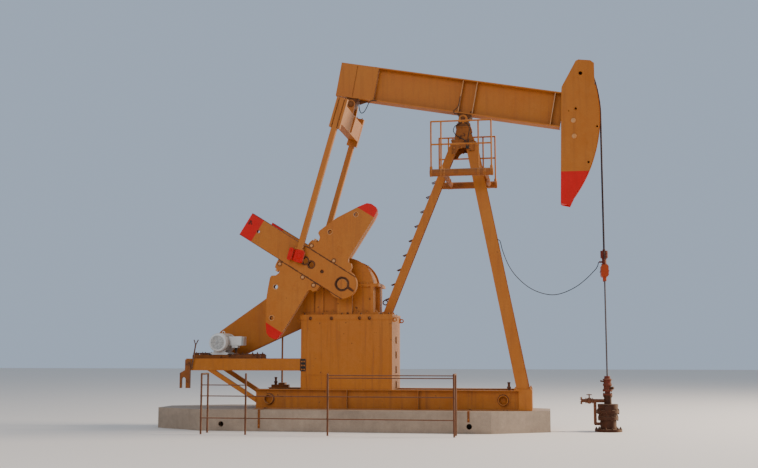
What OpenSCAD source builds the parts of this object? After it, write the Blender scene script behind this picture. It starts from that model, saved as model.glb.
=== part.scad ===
// Crank-balanced beam pumping unit on a portable concrete base, with its wellhead.
// Millimetres. Ground level is z = 0, the walking beam rocks about x = 0,
// +x points to the horsehead, -y is the side with the crank guard fence.

/* [Linkage] */
// Height of the saddle bearing over the ground
pivot_z = 6400; // [6200:10:6600]
// Saddle bearing to polished rod, the arc of the horsehead
head_arm = 2819; // [2750:1:2900]
// Saddle bearing to equalizer bearing
tail_arm = 2440; // [2380:1:2500]
// Saddle bearing back to the crankshaft
crank_back = 2440; // [2400:1:2480]
// Height of the crankshaft over the ground
crank_z = 2945; // [2900:5:2990]
// Crankshaft to wrist pin
crank_throw = 1067; // [1000:1:1100]
// Angle of the crank over the horizontal, as it stands
crank_angle = 148; // [140:1:156]
// Angle that the head end of the beam hangs down, as it stands
beam_tilt = 10.36; // [8:0.01:12]

/* [Concrete base] */
// Height of the concrete base
pad_h = 420; // [380:5:440]
// Half width of the concrete base
pad_half_w = 1050; // [950:10:1150]
// Left end of the full width
pad_left = -5330; // [-5500:10:-5200]
// Right end of the full width
pad_right = 550; // [450:10:650]
// Length of each tapered nose
nose_len = 1130; // [900:10:1200]
// Half width of the tip of a nose
nose_half_w = 400; // [300:10:500]
// Diameter of the lifting holes in the sides
pad_hole_d = 110; // [80:5:130]
// Width of a hold-down strap
strap_w = 45; // [30:1:60]
// Thickness of a hold-down strap
strap_t = 10; // [6:1:16]

/* [Skid] */
// Depth of the skid beams
skid_h = 400; // [360:5:430]
// Flange width of the skid beams
skid_flange = 200; // [160:5:220]
// Flange thickness of the skid beams
skid_flange_t = 16; // [12:1:22]
// Web thickness of the skid beams
skid_web_t = 12; // [8:1:16]
// Skid beam centre to the middle of the unit
skid_y = 500; // [470:5:510]
// Left end of the skid
skid_left = -4310; // [-4400:10:-4250]
// Right end of the skid
skid_right = 1330; // [1300:10:1400]
// Length of the closed box across the right end
end_box = 263; // [220:1:300]
// Diameter of the lifting pipes through the skid
lift_pipe_d = 200; // [160:5:240]

/* [Pedestal and gear reducer] */
// Left face of the pedestal
ped_left = -3355; // [-3400:5:-3320]
// Right face of the pedestal
ped_right = -1460; // [-1500:5:-1430]
// Half width of the pedestal
ped_half_w = 570; // [550:5:575]
// Height of the pedestal's top over the ground
ped_top = 2340; // [2300:5:2360]
// Plate thickness of the pedestal
ped_plate = 16; // [10:1:20]
// Width of the corner columns
ped_column = 125; // [90:5:150]
// Height of the seam between upper and lower panels
ped_seam = 1110; // [1000:10:1200]
// Width of a foot hold
step_w = 170; // [140:5:200]
// Height of a foot hold
step_h = 145; // [120:5:170]
// Foot hold to foot hold
step_pitch = 305; // [290:1:320]
// Half width of the gear case
gear_half_w = 420; // [380:5:440]
// Left end of the gear case
gear_left = -3340; // [-3360:5:-3300]
// Right end of the gear case
gear_right = -1863; // [-1900:1:-1840]
// Reach of the flanges past the case
case_flange = 40; // [30:1:50]
// Radius of the cover over the large gear
cover_r = 525; // [500:5:545]

/* [Motor and belt guard] */
// Input shaft, along the unit
sheave_x = -3120; // [-3150:5:-3100]
// Motor shaft, along the unit
motor_x = -5200; // [-5250:5:-5150]
// Height of the motor shaft
motor_z = 1775; // [1750:5:1800]
// Radius of the motor's body over its fins
motor_r = 200; // [180:5:210]
// Number of cooling fins
motor_fins = 28; // [20:1:36]
// Radius of the guard about the input shaft
guard_big_r = 560; // [500:5:565]
// Radius of the guard about the motor shaft
guard_small_r = 345; // [300:5:360]
// Width of the guard across the unit
guard_t = 120; // [100:2:130]

/* [Motor platform] */
// Left end of the motor platform
plat_left = -5820; // [-5900:10:-5750]
// Half width of the motor platform
plat_half_w = 550; // [520:5:570]
// Height of the platform's top
plat_top = 1440; // [1400:5:1470]
// Depth of the platform's channels
plat_h = 245; // [200:5:260]
// Flange width of the platform's channels
plat_flange = 90; // [70:5:110]
// Thickness of the platform's channels
plat_t = 14; // [8:1:18]
// Length of the motor rails
rail_len = 1480; // [1300:10:1550]
// Height of the motor rails
rail_h = 80; // [60:5:100]
// Motor rail centre to the middle of the unit
rail_y = 200; // [150:5:240]

/* [Cranks] */
// Crank centre plane to the middle of the unit
crank_y = 790; // [785:1:800]
// Thickness of a crank
crank_t = 140; // [120:2:144]
// Crankshaft to the outer end of the crank
crank_reach = 2400; // [2350:5:2410]
// Width of a crank
crank_w = 520; // [500:5:540]
// Radius of the crank's inner end about the shaft
crank_boss_r = 300; // [285:5:320]
// Distance between the wrist pin holes
hole_pitch = 152.4; // [140:0.2:160]
// Diameter of the spare wrist pin holes
hole_d = 130; // [110:2:140]
// Shift of the upper near weight along its crank
shift_near_up = 0; // [0:5:60]
// Shift of the lower near weight along its crank
shift_near_low = 370; // [300:5:420]
// Shift of the upper far weight along its crank
shift_far_up = 300; // [280:5:400]
// Shift of the lower far weight along its crank
shift_far_low = 600; // [500:5:650]
// Diameter of the crankshaft
shaft_d = 190; // [180:5:220]
// Diameter of the wrist pins
wrist_d = 150; // [130:5:170]

/* [Pitmans] */
// Pitman centre plane to the middle of the unit
pitman_y = 950; // [945:1:970]
// Pitman thickness across the unit
pitman_t = 100; // [80:2:108]
// Pitman width along the unit
pitman_w = 120; // [100:5:140]
// Width of the equalizer beam
eq_w = 220; // [200:5:240]
// Depth of the equalizer beam
eq_h = 390; // [360:5:420]
// Top of the equalizer beam below its bearing
eq_drop = 200; // [190:5:230]
// Diameter of the equalizer shaft
eq_d = 90; // [80:2:100]

/* [Walking beam] */
// Depth of the walking beam
beam_h = 735; // [700:5:760]
// Flange width of the walking beam
beam_flange = 290; // [270:2:300]
// Flange thickness of the walking beam
beam_flange_t = 25; // [20:1:30]
// Web thickness of the walking beam
beam_web_t = 15; // [12:1:20]
// Tail end of the beam, back from the saddle
beam_tail = 2812; // [2760:2:2850]
// Front end of the beam, inside the head
beam_nose = 1990; // [1940:5:2050]
// Bearing centre to the underside of the beam
beam_seat = 145; // [140:1:160]
// Length of the boxed part at the tail
tail_box = 827; // [750:1:900]
// Diameter of the saddle shaft
saddle_d = 100; // [90:2:120]

/* [Horsehead] */
// Plate thickness of the head
head_plate = 12; // [8:1:16]
// Thickness of the rope tracks on the head
track_t = 20; // [12:1:30]
// Width of a rope track
track_w = 40; // [34:1:60]
// Angle that the ropes wrap round the head, as it stands
rope_wrap = 16.64; // [14:0.01:18]
// Angle of the lower end of the tracks
arc_low = -26; // [-28:1:-22]
// Diameter of each bridle rope
rope_d = 28; // [22:1:32]
// Gap in each rope between its length on the head and its hanging length
rope_gap = 2; // [1.5:0.1:4]
// Rope centre to the middle of the head
rope_y = 110; // [90:5:120]

/* [Post] */
// Width of a front leg seen from the side
leg_w = 236; // [200:2:250]
// Depth of a front leg across the unit
leg_d = 150; // [130:5:170]
// Width of the rear leg seen from the side
rear_leg_w = 165; // [140:5:180]
// Flange thickness of the legs
leg_t = 16; // [10:1:20]
// Height of the underside of the cap's flange
cap_z = 5930; // [5900:5:5960]
// Height of the top of the bearing stool
stool_z = 6240; // [6225:5:6255]
// Half width of the cap
cap_half_y = 300; // [280:5:320]

/* [Work platform] */
// Half width of the work platform
platform_y = 900; // [860:10:940]
// Height of the centre of the platform's tubes
platform_z = 5180; // [5150:5:5200]
// Left end of the work platform
platform_x0 = -640; // [-680:5:-620]
// Right end of the work platform
platform_x1 = 640; // [600:5:680]
// Diameter of the platform's tubes
platform_d = 150; // [120:5:160]
// Height of the top rail
rail_z = 6240; // [6180:10:6300]
// Height of the middle rail
mid_rail_z = 5765; // [5700:5:5820]
// Diameter of the railing's tubes
railing_d = 34; // [28:1:42]

/* [Guard fence] */
// Distance of the fence from the middle of the unit
fence_y = 1950; // [1850:10:2050]
// Height of the fence
fence_h = 1150; // [1050:10:1250]
// Diameter of the fence's posts
fence_d = 38; // [30:1:48]

/* [Wellhead] */
// Diameter of the polished rod
rod_d = 32; // [28:1:38]
// Diameter of the casing head
casing_d = 405; // [360:5:440]
// Diameter of the stuffing box
stuffing_d = 180; // [160:5:200]
// Height of the top of the stuffing box
stuffing_top = 1095; // [1050:5:1140]
// Underside of the carrier bar, as it stands
carrier_z = 3085; // [3050:5:3120]
// Height of the carrier bar
carrier_h = 242; // [220:2:260]
// Top of the polished rod, as it stands
rod_top = 4480; // [4400:10:4550]

/* [Hidden] */

paint = [0.62, 0.38, 0.18];
red_paint = [0.72, 0.1, 0.02];
concrete = [0.7, 0.67, 0.63];
bare_steel = [0.45, 0.43, 0.41];
pale_grey = [0.85, 0.85, 0.82];
rust = [0.38, 0.2, 0.12];
black = [0.12, 0.11, 0.1];
fit = 0.05;
seat = 0.3;
eps = 1;

// Linkage at rest
crank_x = -crank_back;
pin_x = crank_x + crank_throw * cos(crank_angle);
pin_z = crank_z + crank_throw * sin(crank_angle);
tail_x = -tail_arm * cos(beam_tilt);
tail_z = pivot_z + tail_arm * sin(beam_tilt);
pitman_len = norm([tail_x - pin_x, tail_z - pin_z]);
pitman_lean = atan2(tail_x - pin_x, tail_z - pin_z);

skid_bottom = pad_h;
skid_top = pad_h + skid_h;
beam_top = beam_seat + beam_h;
arc_high = beam_tilt + rope_wrap;

module beam_frame() {
    translate([0, 0, pivot_z]) rotate([0, beam_tilt, 0]) children();
}

module crank_frame() {
    translate([crank_x, 0, crank_z]) rotate([0, -crank_angle, 0]) children();
}

// Origin on the equalizer bearing, -z runs down the pitman to the wrist pin
module pitman_frame() {
    translate([tail_x, 0, tail_z]) rotate([0, pitman_lean, 0]) children();
}

// Draws its child profile in the xz plane, thick across the unit, centred on y
module plate_xz(thick, y = 0) {
    translate([0, y + thick / 2, 0]) rotate([90, 0, 0]) linear_extrude(thick) children();
}

module both_sides() {
    children();
    mirror([0, 1, 0]) children();
}

// Pin along y between two y positions
module pin_y(d, y0, y1) {
    translate([0, y1, 0]) rotate([90, 0, 0]) cylinder(h = y1 - y0, d = d, $fn = 48);
}

function arc_points(r, a0, a1, steps, centre = [0, 0]) =
    [for (i = [0:steps]) let (a = a0 + (a1 - a0) * i / steps) centre + r * [cos(a), sin(a)]];

module i_section(depth, flange, flange_t, web_t) {
    translate([-flange / 2, 0]) square([flange, flange_t]);
    translate([-flange / 2, depth - flange_t]) square([flange, flange_t]);
    translate([-web_t / 2, 0]) square([web_t, depth]);
}

// I beam along x, its underside on z = 0
module i_beam(length, depth, flange, flange_t, web_t) {
    rotate([90, 0, 90]) linear_extrude(length) i_section(depth, flange, flange_t, web_t);
}

// Runs its child profile straight from point p to point q, x to x and y to y
module run(p, q) {
    v = q - p;
    turn = atan2(v[1], v[0]);
    translate(p) rotate([0, acos(v[2] / norm(v)), turn]) rotate([0, 0, -turn])
        linear_extrude(norm(v)) children();
}

// What lies between two heights
module between(z0, z1) {
    intersection() {
        children();
        translate([-9000, -3000, z0]) cube([15000, 6000, z1 - z0]);
    }
}

module round_bar(p, q, d, sides = 24) {
    v = q - p;
    translate(p) rotate([0, acos(v[2] / norm(v)), atan2(v[1], v[0])])
        cylinder(h = norm(v), d = d, $fn = sides);
}

// Round tube through a list of points, one ring square to the path at each
module swept_tube(points, d, sides = 10) {
    n = len(points);
    function unit(v) = v / norm(v);
    function tangent(i) = unit(points[min(i + 1, n - 1)] - points[max(i - 1, 0)]);
    function side_dir(t) = unit(cross(t, abs(t[1]) > 0.9 ? [1, 0, 0] : [0, 1, 0]));
    rings = [for (i = [0:n - 1]) let (t = tangent(i), u = side_dir(t), w = cross(t, u))
        for (k = [0:sides - 1])
            points[i] + d / 2 * (cos(k * 360 / sides) * u + sin(k * 360 / sides) * w)];
    walls = [for (i = [0:n - 2], k = [0:sides - 1]) let (m = (k + 1) % sides)
        [i * sides + k, (i + 1) * sides + k, (i + 1) * sides + m, i * sides + m]];
    ends = [[for (k = [0:sides - 1]) k], [for (k = [sides - 1:-1:0]) (n - 1) * sides + k]];
    polyhedron(points = rings, faces = concat(walls, ends), convexity = 4);
}

// Base: concrete and skid

hole_z = 0.32 * pad_h;
hole_xs = [pad_left + 450, pad_right - 430];
module concrete_base() {
    color(concrete) difference() {
        linear_extrude(pad_h) polygon([
            [pad_left, -pad_half_w], [pad_right, -pad_half_w],
            [pad_right + nose_len, -nose_half_w], [pad_right + nose_len, nose_half_w],
            [pad_right, pad_half_w], [pad_left, pad_half_w],
            [pad_left - nose_len, nose_half_w], [pad_left - nose_len, -nose_half_w]
        ]);
        both_sides() for (x = hole_xs)
            translate([x, 0, hole_z]) pin_y(pad_hole_d, -pad_half_w - eps, -pad_half_w + 350);
    }
}

// Each strap lies over the lower flange of the skid, across the concrete and down its side
straps = [[skid_left + 200, 60], [pad_right - 465, 220]];
module hold_down_straps() {
    inner = skid_y + skid_web_t / 2 + 20;
    outer = skid_y + skid_flange / 2;
    over = skid_flange_t + strap_t;
    color(paint) both_sides() for (strap = straps)
        translate([strap[0] + strap_w, 0, pad_h]) rotate([90, 0, -90]) linear_extrude(strap_w) polygon([
            [inner, skid_flange_t], [outer, skid_flange_t], [outer, 0], [pad_half_w, 0],
            [pad_half_w, strap[1] - pad_h], [pad_half_w + strap_t, strap[1] - pad_h],
            [pad_half_w + strap_t, strap_t], [outer + strap_t, strap_t],
            [outer + strap_t, over], [inner, over]
        ]);
}

box_left = skid_right - end_box;
pipe_xs = [skid_left + 280, box_left - 307];
pipe_z = pad_h + skid_h / 2;
stiffener_xs = [-2400, -940];
module skid_beams() {
    inset = (skid_flange - skid_web_t) / 2;
    color(paint) both_sides() translate([0, -skid_y, skid_bottom]) {
        difference() {
            translate([skid_left, 0, 0])
                i_beam(box_left - skid_left, skid_h, skid_flange, skid_flange_t, skid_web_t);
            for (x = pipe_xs)
                translate([x, 0, pipe_z - skid_bottom]) pin_y(lift_pipe_d + 2 * seat, -50, 50);
        }
        for (x = stiffener_xs)
            translate([x, -skid_flange / 2, skid_flange_t])
                cube([skid_web_t, inset, skid_h - 2 * skid_flange_t]);
    }
}

cross_xs = [skid_left + 60, ped_left + 120, ped_right - 100, -200];
cross_h = 280;
module skid_cross_members() {
    inside = 2 * skid_y - skid_web_t;
    color(paint) {
        for (x = cross_xs)
            translate([x, -inside / 2, skid_bottom + (skid_h - cross_h) / 2])
                rotate([0, 0, 90]) i_beam(inside, cross_h, 150, skid_flange_t, skid_web_t);
        translate([box_left, -skid_y - skid_flange / 2, skid_bottom])
            cube([end_box, 2 * skid_y + skid_flange, skid_h]);
        for (x = pipe_xs) translate([x, 0, pipe_z]) difference() {
            pin_y(lift_pipe_d, -skid_y - skid_flange / 2, skid_y + skid_flange / 2);
            pin_y(lift_pipe_d - 30, -2000, 2000);
        }
    }
}

// Base: pedestal

ped_flange = 40;
lip_h = 65;
panel_top = ped_top - ped_flange;
module pedestal_sides() {
    split_x = -2815;
    proud = 10;
    gap = 8;
    color(paint) both_sides() {
        translate([ped_left, -ped_half_w + proud, skid_top])
            cube([ped_right - ped_left, ped_plate, panel_top - skid_top]);
        translate([ped_left, -ped_half_w, skid_top]) cube([ped_column - gap, proud, 250]);
        for (span = [[ped_left + ped_column, split_x - gap], [split_x, ped_right]])
            translate([span[0], -ped_half_w, skid_top])
                cube([span[1] - span[0], proud, ped_seam - gap - skid_top]);
        translate([ped_left + ped_column, -ped_half_w, ped_seam])
            cube([ped_right - ped_left - ped_column, proud, panel_top - ped_seam]);
    }
}

module pedestal_ends() {
    inside = 2 * (ped_half_w - ped_plate - 10);
    height = panel_top - skid_top;
    eye_z = ped_top - 110;
    color(paint) {
        translate([ped_left, -inside / 2, skid_top]) cube([ped_plate, inside, height]);
        difference() {
            translate([ped_right - ped_plate, -inside / 2, skid_top])
                cube([ped_plate, inside, height]);
            for (i = [0:3])
                translate([ped_right - ped_plate - eps, -step_w / 2, skid_top + 12 + i * step_pitch])
                    cube([ped_plate + 2 * eps, step_w, step_h]);
        }
        both_sides() for (side = [[ped_left, -1], [ped_right, 1]])
            plate_xz(20, -inside / 2 + 40) difference() {
                union() {
                    translate([side[0] + side[1] * 50, eye_z]) circle(d = 90, $fn = 32);
                    translate([side[0] + side[1] * 25 - 25, eye_z - 45]) square([50, 90]);
                }
                translate([side[0] + side[1] * 50, eye_z]) circle(d = 45, $fn = 32);
            }
    }
}

module pedestal_top() {
    over = 12;
    length = ped_right - ped_left + 2 * over;
    color(paint) translate([ped_left - over, 0, 0]) {
        translate([0, -ped_half_w - over, panel_top])
            cube([length, 2 * ped_half_w + 2 * over, ped_flange]);
        both_sides() translate([0, -ped_half_w - over, panel_top - lip_h])
            cube([length, over, lip_h]);
    }
}

// Base: gear reducer

split_t = 30;
boss_y = 560;
boss_r = 235;
foot_t = 50;

module shaft_bore(r, y) {
    translate([crank_x, 0, crank_z]) pin_y(2 * r, -y, y);
}

// Vertical rib on both sides of the case, from x0 to x1
module case_rib(x0, x1, proud) {
    both_sides() translate([x0, -gear_half_w - proud, ped_top])
        cube([x1 - x0, proud, crank_z - ped_top]);
}

module gear_case() {
    depth = crank_z - ped_top;
    color(paint) difference() {
        union() {
            translate([gear_left, -gear_half_w, ped_top])
                cube([gear_right - gear_left, 2 * gear_half_w, depth]);
            for (z = [ped_top, crank_z - split_t])
                translate([gear_left, -gear_half_w - case_flange, z])
                    cube([gear_right - gear_left + 110, 2 * (gear_half_w + case_flange),
                        z == ped_top ? foot_t : split_t]);
            case_rib(gear_left, gear_left + 225, 25);
            case_rib(gear_left + 265, gear_left + 430, case_flange);
            case_rib(gear_right - 60, gear_right, case_flange);
            case_rib(crank_x - 0.7 * boss_r, crank_x + 0.62 * boss_r, boss_y - gear_half_w - 40);
            intersection() {
                shaft_bore(boss_r, boss_y);
                translate([crank_x - boss_r, -boss_y, crank_z - boss_r])
                    cube([2 * boss_r, 2 * boss_y, boss_r]);
            }
            translate([gear_right, -150, ped_top + foot_t]) cube([90, 300, depth - foot_t - split_t]);
        }
        shaft_bore(shaft_d / 2 + fit, boss_y + eps);
    }
}

// The cover is round over the large gear and slopes down to the input shaft
module gear_cover() {
    input_r = 170;
    slope = asin((cover_r - input_r) / (crank_x - sheave_x));
    wide = arc_points(cover_r, 0, 90 + slope, 22, [crank_x, crank_z]);
    narrow = arc_points(input_r, 90 + slope, 180, 8, [sheave_x, crank_z]);
    rim = 45;
    color(paint) difference() {
        union() {
            plate_xz(2 * gear_half_w) polygon(concat(wide, narrow));
            for (y = [-gear_half_w, gear_half_w])
                plate_xz(30, y) polygon(concat(
                    arc_points(cover_r + rim, 0, 90 + slope, 22, [crank_x, crank_z]),
                    arc_points(input_r + rim, 90 + slope, 180, 8, [sheave_x, crank_z])
                ));
            translate([gear_left, -gear_half_w - case_flange, crank_z])
                cube([gear_right - gear_left + 110, 2 * (gear_half_w + case_flange), split_t]);
            intersection() {
                shaft_bore(boss_r, boss_y);
                translate([crank_x - boss_r, -boss_y, crank_z])
                    cube([2 * boss_r, 2 * boss_y, boss_r]);
            }
        }
        shaft_bore(shaft_d / 2 + fit, boss_y + eps);
    }
}

// Base: belt guard and motor

guard_y0 = 585;
guard_y1 = guard_y0 + guard_t;
guard_run = [sheave_x - motor_x, crank_z - motor_z];
guard_rise = atan2(guard_run[1], guard_run[0]);
guard_open = asin((guard_big_r - guard_small_r) / norm(guard_run));

// Outline round the two belt wheels, grown by more
module guard_outline(more = 0) {
    polygon(concat(
        arc_points(guard_big_r + more, guard_rise - 90 - guard_open, guard_rise + 90 + guard_open,
            28, [sheave_x, crank_z]),
        arc_points(guard_small_r + more, guard_rise + 90 + guard_open, guard_rise + 270 - guard_open,
            24, [motor_x, motor_z])
    ));
}

module belt_guard() {
    wall = 8;
    rim = 12;
    color(paint) {
        plate_xz(guard_t - wall, guard_y0 + wall + (guard_t - wall) / 2) guard_outline();
        plate_xz(wall, guard_y0 + wall / 2) difference() {
            guard_outline();
            translate([sheave_x, crank_z]) circle(d = 260, $fn = 48);
        }
        plate_xz(wall, guard_y1 - wall / 2) guard_outline(rim);
        plate_xz(wall, guard_y0 + wall * 1.5) guard_outline(rim);
    }
}

guard_post_x = -4060;
guard_post_y = guard_y0 + guard_t / 2;
guard_under = motor_z - guard_small_r / cos(guard_rise - guard_open)
    + (guard_post_x - motor_x) * tan(guard_rise - guard_open);
module guard_support() {
    shelf_y = skid_y + skid_flange / 2;
    block_h = 60;
    color(rust) {
        translate([guard_post_x - 186, skid_y - 60, skid_top]) cube([380, 120, block_h]);
        translate([guard_post_x - 30, skid_y - 60, skid_top + block_h])
            cube([130, guard_post_y - skid_y + 80, 40]);
        round_bar([guard_post_x, guard_post_y, skid_top + block_h + 40],
            [guard_post_x, guard_post_y, guard_under - 20 * tan(guard_rise - guard_open) - seat], 40);
    }
}

rail_top = plat_top + rail_h;
module motor() {
    body_y0 = -290;
    body_y1 = 330;
    core_r = motor_r - 22;
    hood_r = motor_r - 8;
    color(pale_grey) translate([motor_x, 0, 0]) {
        translate([0, 0, motor_z]) {
            plate_xz(body_y1 - body_y0, (body_y0 + body_y1) / 2) union() {
                circle(core_r, $fn = 48);
                for (i = [0:motor_fins - 1]) rotate((i + 0.5) * 360 / motor_fins)
                    translate([core_r - 6, -4]) square([motor_r - core_r + 6, 8]);
            }
            difference() {
                rotate([90, 0, 0]) rotate_extrude($fn = 48) polygon([
                    [0, -body_y0], [hood_r, -body_y0], [hood_r, 380 - 30], [hood_r - 12, 375],
                    [hood_r - 40, 390], [0, 390]
                ]);
                for (r = [40:22:128]) translate([0, -380, 0]) rotate([90, 0, 0])
                    rotate_extrude($fn = 48) translate([r, 0]) square([10, 12]);
            }
            pin_y(2 * hood_r, body_y1, body_y1 + 30);
            pin_y(60, body_y1 + 30, guard_y0);
            translate([core_r - 20, -100, -60]) cube([460 - core_r, 240, 190]);
            translate([core_r + 40, -80, -110]) cube([130, 160, 50]);
            translate([-core_r - 60, -60, -70]) cube([80, 130, 130]);
        }
        for (y = [-rail_y, rail_y]) plate_xz(110, y) polygon([
            [-200, rail_top], [200, rail_top], [200, rail_top + 25], [120, rail_top + 60],
            [120, motor_z - 100], [-120, motor_z - 100], [-120, rail_top + 60], [-200, rail_top + 25]
        ]);
    }
}

module motor_rails() {
    slot = 20;
    color(rust) for (y = [-rail_y, rail_y]) difference() {
        translate([plat_left + 30, y - 45, plat_top]) cube([rail_len, 90, rail_h]);
        translate([plat_left + 70, y - slot / 2, rail_top - slot]) cube([rail_len - 80, slot, 2 * slot]);
    }
}

// Base: motor platform

module channel(depth, flange, t) {
    difference() {
        square([flange, depth]);
        translate([t, t]) square([flange, depth - 2 * t]);
    }
}

module motor_platform() {
    color(paint) both_sides()
        translate([plat_left, -plat_half_w, plat_top - plat_h]) rotate([90, 0, 90])
            linear_extrude(ped_left - plat_left) channel(plat_h, plat_flange, plat_t);
}

bar_w = 110;
bar_h = plat_h - 2 * plat_t - 6;
bar_xs = [plat_left, motor_x + 120, motor_x + 500, ped_left - 400];
module platform_crossbars() {
    webs = 2 * (plat_half_w - plat_t);
    tips = 2 * (plat_half_w - plat_flange);
    cap = plat_t + 3;
    color(paint) for (x = bar_xs) {
        translate([x, -webs / 2, plat_top - cap - bar_h]) cube([bar_w, webs, bar_h]);
        translate([x + 20, -tips / 2, plat_top - cap]) cube([bar_w - 40, tips, cap]);
    }
}

// Bolted plates that join the platform to the pedestal's corner columns
module platform_brackets() {
    plate = 14;
    face_y = ped_half_w - 10;
    z = plat_top - plat_h - 12;
    color(black) both_sides() {
        translate([ped_left - 8, -face_y - plate, z]) cube([112, plate, plat_h + 6]);
        translate([ped_left - 8, -face_y, z]) cube([8, face_y - plat_half_w, plat_h + 6]);
    }
}

module platform_braces() {
    top = [plat_left + 490, -skid_y, plat_top - plat_h + 35];
    foot = [skid_left + 80, -skid_y, pad_h + 130];
    color(paint) both_sides() intersection() {
        run(top, foot) translate([-45, -35]) square([90, 70]);
        translate([plat_left, -skid_y - 100, 0])
            cube([skid_left - plat_left, 200, plat_top - plat_h]);
    }
}

// Forked handle of the brake, and the arched hanger at the corner of the platform
module brake_lever() {
    hang_x = plat_left - 110;
    hang_z = plat_top - 610;
    arch_r = 45;
    y = -plat_half_w - 40;
    knee = [-5640, 1500];
    fork = [-5605, 1720];
    color(paint) plate_xz(60, -plat_half_w - 30 - seat) difference() {
        polygon([
            [plat_left, plat_top - 20], [plat_left + 110, plat_top - 20],
            [plat_left + 110, hang_z], [hang_x, hang_z], [hang_x, hang_z + 310],
            [plat_left, hang_z + 370]
        ]);
        translate([hang_x + 85, hang_z + 180]) circle(r = arch_r, $fn = 32);
        translate([hang_x + 85 - arch_r, hang_z - eps]) square([2 * arch_r, 181]);
    }
    color(rust) {
        translate([0, y, 0]) {
            round_bar([-5685, 0, 1250], [knee[0], 0, knee[1]], 30);
            round_bar([knee[0], 0, knee[1]], [fork[0], 0, fork[1]], 30);
            for (x = [-5640, -5545]) round_bar([fork[0], 0, fork[1]], [x, 0, 1830], 22);
            for (p = [knee, fork]) translate([p[0], 0, p[1]]) sphere(d = 34, $fn = 24);
        }
        translate([-5685, 0, 1250]) pin_y(36, y - 15, -plat_half_w);
    }
}

// Base: post

cap_x0 = -244;
cap_x1 = 223;
cap_t = 30;
front_top = [150, -180, cap_z];
front_foot = [1149, -skid_y, skid_top + 20];
rear_top = [-190, 0, cap_z];
rear_foot = [-1636, 0, ped_top + 20];

module leg_section(w, d) {
    translate([0, -d / 2]) i_section(d, w, leg_t, leg_t);
}

// Where a leg's centre line is at a height, and half its width there along x
function leg_at(top, foot, z) = top + (foot - top) * (top[2] - z) / (top[2] - foot[2]);
function leg_reach(top, foot, w) = w / 2 * norm([top[0] - foot[0], top[2] - foot[2]])
    / (top[2] - foot[2]);

module front_legs() {
    along = (front_foot - front_top) / 20;
    color(paint) both_sides() {
        between(front_foot[2], cap_z)
            run(front_foot + along, front_top - along) leg_section(leg_w, leg_d);
        translate([front_foot[0] - 170, -skid_y - 100, skid_top]) cube([345, 200, 20]);
    }
}

peg_d = 22;
module rear_leg() {
    along = (rear_foot - rear_top) / 20;
    reach = leg_reach(rear_top, rear_foot, rear_leg_w);
    color(paint) {
        between(rear_foot[2], cap_z)
            run(rear_foot + along, rear_top - along) leg_section(rear_leg_w, 160);
        translate([rear_foot[0] - 107, -140, ped_top]) cube([240, 280, 20]);
        for (z = [rear_foot[2] + 330:step_pitch:platform_z]) let (p = leg_at(rear_top, rear_foot, z))
            translate([p[0] - reach - 85, 0, z - 34]) rotate([0, 68, 0])
                for (y = [-72, 72]) translate([0, y, 0]) cylinder(h = 100, d = peg_d, $fn = 16);
    }
}

module post_cap() {
    side_y = cap_half_y - 16;
    arch = arc_points(150, 165, 30, 10, [-10, cap_z - 290]);
    stool_t = 20;
    module stool(t, y) {
        plate_xz(t, y) polygon([
            [-190, cap_z + cap_t], [200, cap_z + cap_t], [140, stool_z - stool_t],
            [-135, stool_z - stool_t]
        ]);
    }
    color(paint) {
        both_sides() plate_xz(16, -side_y - 8) polygon(concat(
            [[cap_x0, cap_z], [cap_x0, cap_z - 280]], arch,
            [[cap_x1, cap_z - 205], [cap_x1, cap_z]]
        ));
        translate([cap_x0 - 8, -cap_half_y - 10, cap_z])
            cube([cap_x1 - cap_x0 + 16, 2 * cap_half_y + 20, cap_t]);
        both_sides() for (y = [housing_y0 + 10, housing_y1 - 10]) stool(stool_t, -y);
        translate([-10, -housing_y1, cap_z + cap_t])
            cube([20, 2 * housing_y1, stool_z - stool_t - cap_z - cap_t]);
        translate([-155, -cap_half_y, stool_z - stool_t]) cube([310, 2 * cap_half_y, stool_t]);
    }
}

housing_y0 = 150;
housing_y1 = 285;
housing_r = 95;
module saddle_bearings() {
    width = housing_y1 - housing_y0;
    color(paint) both_sides() difference() {
        plate_xz(width, -housing_y0 - width / 2) union() {
            translate([0, pivot_z]) circle(housing_r, $fn = 48);
            polygon([
                [-150, stool_z], [150, stool_z], [150, stool_z + 32], [110, stool_z + 45],
                [housing_r, pivot_z], [-housing_r, pivot_z], [-110, stool_z + 45],
                [-150, stool_z + 32]
            ]);
        }
        translate([0, 0, pivot_z]) pin_y(saddle_d + 2 * fit, -housing_y1 - eps, -housing_y0 + eps);
    }
}

// Base: work platform and fence

tube_y = platform_y - platform_d / 2;
module side_tube(d, more = 0) {
    translate([platform_x0 - more, -tube_y, platform_z]) rotate([0, 90, 0])
        cylinder(h = platform_x1 - platform_x0 + 2 * more, d = d, $fn = 48);
}

module work_platform() {
    wall = 8;
    color(paint) both_sides() difference() {
        side_tube(platform_d);
        side_tube(platform_d - 2 * wall, eps);
    }
}

// Each cross tube bears on the right-hand edges of the legs
module platform_cross_tubes() {
    d = 95;
    function tube_x(top, foot, w) = leg_at(top, foot, platform_z)[0]
        + leg_reach(top, foot, w + d) + seat;
    color(paint) difference() {
        for (x = [tube_x(rear_top, rear_foot, rear_leg_w), tube_x(front_top, front_foot, leg_w)])
            translate([x, 0, platform_z]) pin_y(d, -tube_y, tube_y);
        both_sides() side_tube(platform_d + 2 * seat);
    }
}

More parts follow.
